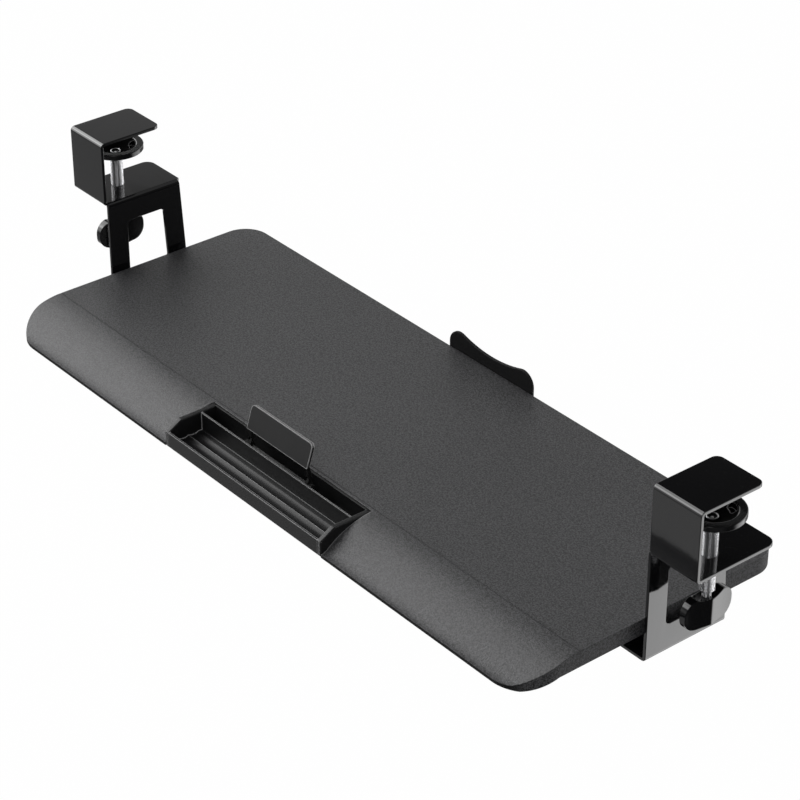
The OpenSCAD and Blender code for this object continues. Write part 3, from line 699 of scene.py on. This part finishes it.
def board_top(y):
    """Height of the board's top: flat, crease, brow, and the hollow that runs out to the lip."""
    s = CREASE_Y - y
    groove = max(0.0, 1 - abs(s) / CREASE_HALF) * CREASE_DEPTH
    if s <= 0:
        return -groove
    if s <= JOIN_S:
        return math.sqrt(BROW_R ** 2 - s ** 2) - BROW_R - groove
    return LIP_Z + HOLLOW_R - math.sqrt(max(0.0, HOLLOW_R ** 2 - (SLOPE_D - s) ** 2))


def board_low(y):
    """Height of the board's underside, which slopes down to the lip."""
    s = CREASE_Y - y
    lip_low = LIP_Z - LIP_T
    share = min(1.0, max(0.0, (s - UNDER_START) / (UNDER_END - UNDER_START)))
    return -TRAY_T + share * (lip_low + TRAY_T)


def tray_board():
    half = TRAY_W / 2
    outline = round_corners(
        [
            (-half, -TRAY_D), (-NOTCH_HALF, -TRAY_D), (-NOTCH_HALF, NOTCH_REAR),
            (NOTCH_HALF, NOTCH_REAR), (NOTCH_HALF, -TRAY_D), (half, -TRAY_D),
            (half, 0), (-half, 0),
        ],
        [FRONT_R, 0, 0, 0, 0, FRONT_R, REAR_R, REAR_R],
        steps=28,
    )
    bm = plate(outline, TRAY_T, TRAY_EDGE, steps=3)
    shift(bm, lambda x, y, z: (x, y, z - TRAY_T / 2))
    crease = [CREASE_Y + CREASE_HALF * share for share in (1, 0.5, 0, -0.5, -1)]
    slope = [CREASE_Y - SLOPE_D * k / SLOPE_SLICES for k in range(1, SLOPE_SLICES)]
    slice_across(bm, 1, crease + slope + [CREASE_Y - UNDER_START, CREASE_Y - UNDER_END])
    shift(bm, lambda x, y, z: (
        x, y, z + (board_top(y) if z > -TRAY_T / 2 else board_low(y) + TRAY_T)
    ))
    to_piece(on_tray(bm), "tray_board_slab", "tray", FILM, ["tray_board"])


# Pen tray

def groove_floor(rear):
    """Section of a shallow round groove whose rear edge is at rear."""
    half = GROOVE_W / 2
    r = (half ** 2 + GROOVE_DEPTH ** 2) / (2 * GROOVE_DEPTH)
    swing = math.degrees(math.asin(half / r))
    return arc(rear - half, PEN_FLOOR - GROOVE_DEPTH + r, r, 270 - swing, 270 + swing, 10)


def pen_trough():
    """Floor, front and rear wall and divider as one section, with the side walls at its ends."""
    cell = PEN_FRONT + PEN_WALL
    slot = DIVIDER_Y + DIVIDER_T
    grooves = groove_floor(RIDGE_Y) + groove_floor(GROOVE_REAR)[1:]
    corners = [
        ((PEN_FRONT, PEN_LOW), PEN_FOOT_R), ((PEN_FRONT, PEN_LIP), PEN_EDGE),
        ((cell, PEN_LIP), PEN_EDGE), ((cell, PEN_FLOOR), CELL_R),
        *[(point, 0) for point in grooves],
        ((DIVIDER_Y, PEN_FLOOR), CELL_R), ((DIVIDER_Y, DIVIDER_Z), PEN_EDGE),
        ((slot, DIVIDER_Z), PEN_EDGE), ((slot, PEN_FLOOR), SLOT_R),
        ((SLOT_REAR, PEN_FLOOR), SLOT_R), ((SLOT_REAR, PEN_RIM), PEN_EDGE),
        ((PEN_REAR, PEN_RIM), PEN_EDGE), ((PEN_REAR, PEN_LOW), PEN_FOOT_R),
    ]
    section = round_corners(*zip(*corners), steps=5)
    middle = PEN_HALF - PEN_SIDE / 2
    front, rear = PEN_FRONT + PEN_INSET, PEN_REAR - PEN_INSET
    low = PEN_LOW + PEN_INSET
    side = round_corners(
        [(front, low), (rear, low), (rear, PEN_RIM), (PEN_FRONT + PEN_RAKE, PEN_RIM),
         (front, PEN_LIP)],
        [PEN_FOOT_R, PEN_FOOT_R, 0.6, 3.0, 0.6], steps=6,
    )
    return [prism(section, -middle, middle), *upright_pair(side, PEN_SIDE, 1.1, middle, steps=3)]


def pen_flange():
    """Flat flange under the board, behind and beside the trough."""
    reach, rear = PEN_HALF + EAR_REACH, PEN_REAR + EAR_REACH
    outline = round_corners(
        [(-reach, EAR_FRONT), (-PEN_HALF, EAR_FRONT), (-PEN_HALF, PEN_REAR), (PEN_HALF, PEN_REAR),
         (PEN_HALF, EAR_FRONT), (reach, EAR_FRONT), (reach, rear), (-reach, rear)],
        [EAR_R, 0, 0, 0, 0, EAR_R, EAR_R, EAR_R], steps=6,
    )
    return shift(plate(outline, EAR_T, 0.4), lambda x, y, z: (x, y, z - TRAY_T - EAR_T / 2))


def pen_tray():
    foot = PEN_FLOOR - 0.5
    lug = arc(PIN_Y, PIN_Z, LUG_R, 0, 180, 16) + [(PIN_Y - LUG_R, foot), (PIN_Y + LUG_R, foot)]
    bore = circle(PIN_Y, PIN_Z, PIN_R + LUG_ROOM, 24)
    moulding = joined(*pen_trough(), pen_flange())
    lugs = joined(*upright_pair(lug, LUG_T, 0.4, LUG_X, [bore]))
    # The lugs take the darker pivot plastic as painted shade behind the divider.
    for bm, name, finish in ((moulding, "pen_tray_moulding", PEN), (lugs, "flap_pin_lugs", PIVOT)):
        to_piece(on_tray(bm), name, "tray", finish, ["pen_tray"])


# Phone flap

def phone_flap():
    face = round_corners(
        oblong(FLAP_HALF, FLAP_LOW, FLAP_TOP),
        [FLAP_LOW_R, FLAP_LOW_R, FLAP_TOP_R, FLAP_TOP_R], steps=10,
    )
    back = FLAP_FACE - FLAP_T / 2
    sheet = shift(plate(face, FLAP_T, FLAP_EDGE), lambda x, y, z: (x, -z - back, y))
    waist, waist_z, root, inside, open_to = 2.6, 6.4, -4.6, -6, 35.7
    arm = arc(0, 0, ARM_R, -180 - open_to, open_to, 20) + round_corners(
        [(waist, waist_z), (-3.6, FLAP_LOW), (root, FLAP_LOW + 1.9), (inside, FLAP_LOW + 1.9),
         (inside, FLAP_LOW), (root, FLAP_LOW - 2), (-waist, waist_z)],
        [2, 0.3, 0, 0, 0, 0.6, 2], steps=4,
    )
    arms = joined(*upright_pair(arm, ARM_T, 0.5, ARM_X, [circle(0, 0, PIN_R + ARM_ROOM, 24)]))
    c, s = math.cos(FLAP_LEAN), math.sin(FLAP_LEAN)
    # The arms take the darker pivot plastic as painted shade in the slot.
    for bm, name, finish in ((sheet, "phone_flap_plate", FLAP), (arms, "phone_flap_arms", PIVOT)):
        shift(bm, lambda x, y, z: (x, y * c + z * s + PIN_Y, z * c - y * s + PIN_Z))
        to_piece(on_tray(bm), name, "phone_rest", finish, ["phone_flap"])


# Rear stop

def rear_stop():
    """Upright plate with two lobes and a dip that runs smoothly from one to the other."""
    lobe_x, lobe_z, lobe_r, dip = 41.5, 5.0, 13.0, 11.7
    rise = lobe_z + lobe_r - dip
    dip_r = (lobe_x ** 2 + rise ** 2) / (2 * rise) - lobe_r
    lean = math.degrees(math.atan2(lobe_x, dip + dip_r - lobe_z))
    outline = [(-STOP_HALF, -TRAY_T), (STOP_HALF, -TRAY_T)]
    outline += arc(lobe_x, lobe_z, lobe_r, 0, 90 + lean, 18)
    outline += arc(0, dip + dip_r, dip_r, 270 + lean, 270 - lean, 24)[1:-1]
    outline += arc(-lobe_x, lobe_z, lobe_r, 90 - lean, 180, 18)
    bm = plate(outline, STOP_T, STOP_EDGE, steps=3)
    shift(bm, lambda x, y, z: (x, STOP_T / 2 - z, y))
    to_piece(on_tray(bm), "rear_stop_plate", "tray", STOP, ["rear_stop"])


# Clamp brackets

def spread(start, length, steps):
    return [start + length * k / steps for k in range(steps + 1)]


def bracket_blank():
    """The bracket as one sheet: lower jaw at its place, web and upper jaw bent up from its front
    edge, panel and bottom flange bent down from its inner edge."""
    quarter = math.pi / 2
    arm = (BEND - SHEET / 2) * quarter
    fold_x, fold_y = PANEL_IN + BEND, BEND - SHEET - WEB_ROOM
    middle = -JAW_GAP - SHEET / 2
    web = JAW_GAP + 2 * SHEET - 2 * BEND
    drop = -FLANGE_LOW - JAW_GAP - 2 * BEND
    top_l, flange_l = JAW_TOP_L - fold_y, PANEL_OUT - BEND - FLANGE_IN
    web_y = fold_y - arm
    top_y = web_y - web - arm
    end_y = top_y - JAW_TOP_L + fold_y
    panel_x = fold_x - arm
    foot_x = panel_x - drop
    flange_x = foot_x - arm
    end_x = flange_x - flange_l
    panel_top, panel_low = -JAW_GAP - BEND, FLANGE_LOW + BEND

    def rear(z):
        share = (-JAW_GAP - z) / (-JAW_GAP - FLANGE_LOW)
        return PANEL_TOP_Y + share * (PANEL_REAR_Y - PANEL_TOP_Y)

    def down(z):
        return panel_x - panel_top + z

    relief = 0.3
    web_in, notch_x = PANEL_OUT + 0.1, fold_x - 1.2
    corners = [
        ((JAW_OUT, JAW_LOW_L), JAW_LOW_R), ((fold_x + relief, JAW_LOW_L), 0.5),
        ((fold_x - relief, PANEL_TOP_Y), 0), ((panel_x, rear(panel_top)), 0),
        ((foot_x, rear(panel_low)), 0), ((flange_x, PANEL_REAR_Y), 0),
        ((end_x, PANEL_REAR_Y), FLANGE_R), ((end_x, -SHEET), FLANGE_R),
        ((notch_x, -SHEET), 0.4), ((notch_x, fold_y + relief), 0),
        ((fold_x + relief, fold_y + relief), 0), ((fold_x + relief, web_y - relief), 0),
        ((web_in, web_y - relief), 0),
        ((web_in, end_y), JAW_TOP_R), ((JAW_OUT, end_y), JAW_TOP_R),
    ]
    outline = round_corners(*zip(*corners), steps=8)
    window = round_corners(
        [(down(WINDOW_TOP), WINDOW_FRONT), (down(WINDOW_LOW), WINDOW_FRONT),
         (down(WINDOW_LOW), rear(WINDOW_LOW) - WINDOW_REAR),
         (down(WINDOW_TOP), rear(WINDOW_TOP) - WINDOW_REAR)],
        [WINDOW_R] * 4, steps=8,
    )
    bm = plate(outline, SHEET, SHEET_EDGE, [window, circle(AXIS_X, AXIS_Y, BUSH_BORE_R, 32)])
    slice_across(bm, 0, spread(panel_x, arm, 6) + spread(flange_x, arm, 6))
    slice_across(bm, 1, spread(web_y, arm, 6) + spread(top_y, arm, 6))
    rising = bend_path([(arm, quarter), (web, 0), (arm, quarter), (top_l, 0)])
    hanging = bend_path([(arm, -quarter), (drop, 0), (arm, quarter), (flange_l, 0)])
    web_side = fold_x - 1.05

    def place(x, y, z):
        if y < fold_y and x > web_side:
            ahead, up = rising(fold_y - y, z)
            return x, fold_y - ahead, middle + up
        if x < fold_x:
            ahead, up = hanging(fold_x - x, z)
            return fold_x - ahead, y, middle + up
        return x, y, middle + z

    return shift(bm, place)


def clamp_bracket(side):
    bm = bracket_blank()
    if side == "left":
        bm = mirrored(bm)
    name = f"{side}_bent_bracket"
    to_piece(bm, name, "brackets", COAT, [f"{side}_clamp_bracket"])


# Clamp screw, swivel stud, pad and knob

def clamp_screw(side):
    """Plated rod with its neck, and the swivel rivet at its top, whose well round a nib is lined
    with a dark ring as painted shade.
    """
    at = on_axis(side)
    body, slot = f"{side}_screw", "chrome_rod"
    low_r, top_r, neck_r = 0.8, 0.4, 0.3
    shoulder_r, half_way, near_top = 4.9, -60.0, -30.2
    rod = [
        (0, NECK_LOW), (NECK_R, NECK_LOW), (NECK_R, SHOULDER_Z - neck_r),
        (NECK_R + neck_r, SHOULDER_Z), (shoulder_r, SHOULDER_Z),
        *arc(ROD_R - low_r, SHOULDER_Z + low_r, low_r, -90, 0, 4),
        (ROD_R, half_way), (ROD_R, near_top),
        *arc(ROD_R - top_r, ROD_TOP - top_r, top_r, 0, 90, 3),
        (0, ROD_TOP),
    ]
    bm = lathe(rod, 64, at)
    to_piece(bm, f"{side}_plated_screw", body, PLATE, [f"{side}_clamp_screw"])
    stud = [
        ((0, PAD_LOW), 0), ((STUD_R, PAD_LOW), 0), ((STUD_R, RING_LOW), 0),
        ((RING_R, RING_LOW), 0.3), ((RING_R, RING_TOP), 0.5), ((WELL_R, RING_TOP), 0.3),
        ((WELL_R, WELL_Z), 0), ((NIB_R, WELL_Z), 0), ((NIB_R, NIB_TOP), 0.5), ((0, NIB_TOP), 0),
    ]
    bm = lathe(round_corners(*zip(*stud), steps=4), 48, at)
    to_piece(bm, f"{side}_swivel_rivet", body, STEEL, [f"{side}_swivel_stud"])
    # Painted shade: a dark ring lining the rivet's well.
    inner, outer, low = NIB_R + 0.02, WELL_R - 0.02, WELL_Z + 0.05
    floor, wall, top = -25.4, 3.4, -23.6
    well = [(inner, low), (outer, low), (outer, top), (wall, top), (wall, floor), (inner, floor)]
    bm = turned_ring(well, 48, at)
    to_piece(bm, f"{side}_rivet_well", body, OXIDE, [f"{side}_swivel_stud"])


def pad_slot():
    """Curved slot with round ends, seen from above."""
    inner, outer, start, end = 13.0, 18.3, 52, 75
    middle, half = (inner + outer) / 2, (outer - inner) / 2
    ends = [arc(0, 0, middle, angle, angle, 1)[0] for angle in (start, end)]
    return (arc(0, 0, outer, start, end, 8)
            + arc(*ends[1], half, end, end + 180, 8)[1:-1]
            + arc(0, 0, inner, end, start, 8)
            + arc(*ends[0], half, start + 180, start + 360, 8)[1:-1])


def pressure_pad(side):
    """Gloss rim round a matte dish with its slot. The two meet at a ring under the rim's inner
    edge. The dish's near-black colour, darker than the rim's, is painted shade of the recess, and
    its slot edges carry painted highlights."""
    at = on_axis(side)
    foot_fall = (RIM_LOW - PAD_LOW) / (FLARE_R - FOOT_R)
    seam_top = PAD_TOP - (LAND_R - SEAM_R) * DISH_FALL
    seam_low = RIM_LOW - (FLARE_R - SEAM_R) * foot_fall
    rim = round_corners(
        [(SEAM_R, seam_low), (FLARE_R, RIM_LOW), (PAD_R, RIM_LOW), (PAD_R, PAD_TOP),
         (LAND_R, PAD_TOP), (SEAM_R, seam_top)],
        [0, 1.0, 0.6, 0.8, 0.8, 0], steps=6,
    )
    dish = round_corners(
        [(PAD_BORE_R, PAD_LOW), (FOOT_R, PAD_LOW), (SEAM_R, seam_low), (SEAM_R, seam_top),
         (DISH_R, DISH_Z), (PAD_BORE_R, DISH_Z)],
        [0.3, 1.5, 0, 0, 1.0, 0.25], steps=6,
    )
    slot_floor, slot_top = RIM_LOW - 1.2, PAD_TOP + 2
    cut = loft([
        [(at[0] + x, at[1] + y, z) for x, y in pad_slot()] for z in (slot_floor, slot_top)
    ])
    rim, dish = (turned_ring(section, 96, at) for section in (rim, dish))
    for bm, piece, finish in ((rim, "round_pad", PAD), (carved(dish, cut), "pad_dish", DISH)):
        name, nodes = f"{side}_{piece}", [f"{side}_pressure_pad"]
        to_piece(bm, name, f"{side}_pad", finish, nodes)


def wing_half(y):
    """Half thickness of the knob at a distance y from its axis: hollow flanks and a softened
    ridge at the hub."""
    ridge_squared, ridge, tip = 0.5, 0.7071, 0.7
    run = (math.sqrt(y * y + ridge_squared) - ridge) / (KNOB_HALF - tip)
    return KNOB_TIP + (KNOB_HUB - KNOB_TIP) * max(0.0, 1 - run) ** 1.2


def knob_saddle(y):
    """Depth of the dip in the knob's top at a distance y from its axis."""
    r = (KNOB_DIP_HALF ** 2 + KNOB_DIP ** 2) / (2 * KNOB_DIP)
    if abs(y) >= KNOB_DIP_HALF:
        return 0.0
    return KNOB_DIP - r + math.sqrt(r * r - y * y)


def wing_knob(side):
    shape = round_corners(oblong(KNOB_HALF, -KNOB_TALL, KNOB_TALL), [KNOB_CORNER] * 4, steps=14)
    bm = plate(shape, 2 * KNOB_HUB, KNOB_EDGE, steps=3)
    cuts = (0.4, 0.9, 1.6, 2.6, 4.0, 6.0, 8.0, 10.0, 11.6, 13.0, 16.0, 19.0, 22.0)
    slice_across(bm, 0, [y * s for y in cuts for s in (-1, 1)] + [0])
    slice_across(bm, 1, [0])
    shift(bm, lambda y, z, x: (
        SIDES[side] * AXIS_X + x * wing_half(y) / KNOB_HUB, AXIS_Y + y,
        z * (1 - knob_saddle(y) / KNOB_TALL if z > 0 else 1) + KNOB_Z,
    ))
    name, nodes = f"{side}_wing_grip", [f"{side}_wing_knob"]
    to_piece(bm, name, f"{side}_screw", GLOSS, nodes, smooth=40)


# Small fixings

def cross_cut(top, depth):
    """Cutters for a cross recess in a screw head that faces +Z."""
    cutters = []
    for turn in (0, 90):
        c, s = math.cos(math.radians(turn)), math.sin(math.radians(turn))
        rings = []
        for z, long, wide in ((top - depth, 0.9, 0.35), (top + 0.4, 2.0, 0.55)):
            rings.append([(x * c - y * s, x * s + y * c, z) for x, y in oblong(long, -wide, wide)])
        cutters.append(loft(rings))
    return cutters


def dome(r, rise, angles):
    """Points up a dome's side, by their angles in degrees."""
    angles = [math.radians(angle) for angle in angles]
    return [(r * math.cos(a), rise * math.sin(a)) for a in angles]


def pan_screw(length):
    """Pan-head screw: head towards +Z, shank from z = 0 down."""
    shank, head_r, brim, head_h, recess = 1.75, 3.5, 0.8, 2.2, 1.3
    profile = [
        (0, -length), (shank * 0.55, -length + 0.6), (shank, -length + 2.4), (shank, 0),
        (3.3, 0), (head_r, 0.25), (head_r, brim),
        *[(r, brim + z) for r, z in dome(head_r, 1.4, (15, 30, 45, 60, 75))],
        (0, head_h),
    ]
    bm = lathe(profile, 32)
    for cut in cross_cut(head_h, recess):
        bm = carved(bm, cut)
    return bm


def rail_rivet(x, y):
    """Rivet through flange and rail, with a dome at both ends."""
    head_r, shank, rise, grip = 4.0, 2, 1.6, 5.0
    head = [(head_r, 0), *dome(head_r, rise, (12, 30, 48, 66, 80)), (0, rise)]
    foot = [(0, -grip - rise)] + [(r, -grip - z) for r, z in reversed(head[:-1])]
    return lathe(foot + [(shank, -grip), (shank, 0)] + head, 32, (x, y, FLANGE_LOW + grip))


def fixings():
    heads = []
    for x, y in PEN_SCREWS:
        screw = pan_screw(PEN_SCREW_L)
        heads.append(shift(screw, lambda a, b, c: (x + a, y - b, -TRAY_T - EAR_T - c)))
    bm = on_tray(joined(*heads))
    to_piece(bm, "pen_tray_pan_screws", "tray", STEEL, ["pen_tray_screws"])
    heads = []
    for x in STOP_SCREWS_X:
        screw = pan_screw(STOP_SCREW_L)
        heads.append(shift(screw, lambda a, b, c: (x + a, STOP_T + c, -TRAY_T / 2 - b)))
    bm = on_tray(joined(*heads))
    to_piece(bm, "rear_stop_pan_screws", "tray", STEEL, ["rear_stop_screws"])
    for side, sign in SIDES.items():
        bm = joined(*[rail_rivet(sign * RAIL_X, y) for y in RIVETS_Y])
        to_piece(bm, f"{side}_domed_rivets", "brackets", STEEL, [f"{side}_rail_rivets"])


# Solids whose shape is right

def coat_node(node, finish):
    """Gives a solid its own finish."""
    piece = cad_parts[node]
    piece.data.materials.clear()
    piece.data.materials.append(finish)
    return piece


def dress_node(node, finish, edge):
    """Gives a solid its own finish and softened edges."""
    piece = coat_node(node, finish)
    weld = piece.modifiers.new("weld", "WELD")
    weld.merge_threshold = 1e-6
    soft = piece.modifiers.new("soft_edges", "BEVEL")
    soft.width = edge * MM
    soft.segments = 2
    soft.limit_method = "ANGLE"
    soft.angle_limit = math.radians(40)
    soft.harden_normals = True


tray_board()
pen_tray()
phone_flap()
rear_stop()
fixings()
dress_node("flap_pin", OXIDE, 0.2)
for side in SIDES:
    clamp_bracket(side)
    clamp_screw(side)
    pressure_pad(side)
    wing_knob(side)
    dress_node(f"{side}_thread_bush", COAT, 0.4)
    dress_node(f"{side}_fixed_rail", RAIL, 0.25)
    dress_node(f"{side}_moving_rail", RAIL, 0.25)
    dress_node(f"{side}_ball_cage", RAIL, 0.1)
    dress_node(f"{side}_rail_screws", STEEL, 0.1)
    coat_node(f"{side}_rail_balls", PLATE)


# Stage, in metres

WHITE = (1, 1, 1, 1)
FLOOR_Z, FLOOR_HALF, FLOOR_WHITE = -0.72, 12, 0.985
LAMP_TARGET = (0, 0, -0.1)
CAMERA_AT, CAMERA_DOWN, CAMERA_TURN = (1.5032, -1.1743, 1.0708), 31.497, 50.83
CAMERA_LENS, CAMERA_SENSOR = 120.886, 36

# What mirror rays meet round the part, as (place, light) stops. A heading of 0 or 1 points along
# -X, 0.25 along -Y, 0.5 along +X and 0.75 along +Y. A rise is 0 at the horizon and 1 straight up,
# and a level is 0 straight down, 0.5 at the horizon and 1 straight up.
BELOW_HEADING = (
    (0.0, 0.12), (0.089, 0.042), (0.13, 0.064), (0.164, 0.05), (0.18, 0.004), (0.333, 0.004),
    (0.361, 0.02), (0.472, 0.02), (0.505, 0.004), (0.588, 0.004), (0.612, 0.2), (0.63, 0.36),
    (0.655, 0.4), (0.683, 0.4), (0.72, 0.4), (0.745, 0.05), (0.85, 0.03), (0.875, 0.3),
    (0.97, 0.3), (1.0, 0.12),
)
BELOW_LEVEL = ((0.05, 0.3), (0.13, 1.0), (0.30, 1.0), (0.42, 0.4))
CEILING_RISE = ((0.0, 1.2), (0.16, 1.2), (0.30, 0.55), (0.42, 0.34), (0.54, 0.02), (1.0, 0.0))
CEILING_HEADING = (
    (0.10, 1.0), (0.16, 0.5), (0.175, 0.02), (0.235, 0.02), (0.26, 0.25), (0.52, 0.25),
    (0.54, 0.02), (0.585, 0.02), (0.61, 1.0),
)
UNDER_LEVEL = ((0.42, 1.0), (0.5, 0.0))
BELOW_LIGHT, EVEN_LIGHT = 7, 0.36

# Pale cards: strength, heading stops, rise stops
CARDS = (
    (2.1, ((0.0, 1.0), (0.105, 1.0), (0.15, 0.0), (0.95, 0.0), (0.995, 1.0)),
     ((0.0, 0.1), (0.12, 1.0), (0.62, 1.0), (0.75, 0.0))),
    (3, ((0.06, 0.0), (0.085, 1.0), (0.145, 1.0), (0.165, 0.0)),
     ((0.32, 0.0), (0.42, 1.0), (0.66, 1.0), (0.76, 0.0))),
    (2.5, ((0.64, 0.0), (0.68, 1.0), (0.78, 1.0), (0.815, 0.0)),
     ((0.0, 0.5), (0.16, 1.0), (0.62, 1.0), (0.72, 0.0))),
    (0.3, ((0.52, 0.0), (0.58, 1.0), (0.86, 1.0), (0.90, 0.0)),
     ((0.62, 0.0), (0.74, 1.0), (1.0, 0.6))),
)


def stage_floor():
    """Pale floor: takes the shadow, white to the camera, and lets mirror rays see the studio
    round it."""
    f = new_finish("pale_floor")
    seen = f.node("LightPath", out="Is Camera Ray")
    glossy = f.node("LightPath", out="Is Glossy Ray")
    grain = f.noise(f.place(), 0.02, 2.0, 0.5)
    pale = f.mix(grain, (0.86, 0.86, 0.86), (0.88, 0.88, 0.88))
    lit = f.node("BsdfDiffuse", {}, {"Color": pale})
    glow = f.node("Emission", {}, {"Color": WHITE, "Strength": 1.0})
    clear = f.node("BsdfTransparent", {}, {"Color": WHITE})
    finish = f.covered(f.mix_shader(glossy, f.mix_shader(seen * FLOOR_WHITE, lit, glow), clear))
    bm = bmesh.new()
    bmesh.ops.create_grid(bm, x_segments=2, y_segments=2, size=FLOOR_HALF)
    mesh = bpy.data.meshes.new("floor")
    bm.to_mesh(mesh)
    bm.free()
    mesh.materials.append(finish)
    floor = linked("floor", mesh)
    floor.location = (0, 0, FLOOR_Z)


def soft_lamp(name, place, size, power):
    lamp = bpy.data.lights.new(name, "AREA")
    lamp.shape = "RECTANGLE"
    lamp.size, lamp.size_y = size
    lamp.energy = power
    obj = linked(name, lamp)
    obj.location = place
    aim = Vector(LAMP_TARGET) - Vector(place)
    obj.rotation_euler = aim.to_track_quat("-Z", "Y").to_euler()


def studio_world():
    """White to the camera, even soft light, and for mirror rays a pale room with dark gaps."""
    world = bpy.data.worlds.new("studio")
    bpy.context.scene.world = world
    w = Finish(world)
    direct = w.node("LightPath", out="Is Camera Ray")
    glossy = w.node("LightPath", out="Is Glossy Ray")
    way = w.node("TexCoord", out="Generated")
    along, across, rise = (w.part(way, axis) for axis in "XYZ")
    heading = w.node("Math", {"operation": "ARCTAN2"}, {0: across, 1: along}) / math.tau + 0.5
    level = rise * 0.5 + 0.5
    below = w.ramp(heading, *BELOW_HEADING) * w.ramp(level, *BELOW_LEVEL)
    above = w.ramp(rise, *CEILING_RISE) * w.ramp(heading, *CEILING_HEADING)
    for strength, heading_stops, rise_stops in CARDS:
        card = w.ramp(heading, *heading_stops) * w.ramp(rise, *rise_stops)
        above = above + card * strength
    lower = w.ramp(level, *UNDER_LEVEL)
    room = below * BELOW_LIGHT * lower + above * (1 - lower)
    soft, mirror, white = (
        w.node("Background", {}, {"Color": WHITE, "Strength": strength})
        for strength in (EVEN_LIGHT, room, 1.0)
    )
    seen = w.mix_shader(direct, w.mix_shader(glossy, soft, mirror), white)
    w.node("OutputWorld", {}, {"Surface": seen})


def photo_camera():
    lens = bpy.data.cameras.new("photo_camera")
    lens.sensor_width = CAMERA_SENSOR
    lens.lens = CAMERA_LENS
    lens.clip_end = 50
    obj = linked("photo_camera", lens)
    obj.location = CAMERA_AT
    obj.rotation_euler = (math.radians(90 - CAMERA_DOWN), 0, math.radians(CAMERA_TURN))
    bpy.context.scene.camera = obj


stage_floor()
studio_world()
soft_lamp("key_softbox", (-3.6, -0.4, 3.95), (4.5, 4.5), 150)
soft_lamp("fill_softbox", (1.2, -1.9, 1.6), (1.6, 1.6), 14)
photo_camera()
bpy.context.scene.view_settings.view_transform = "Standard"
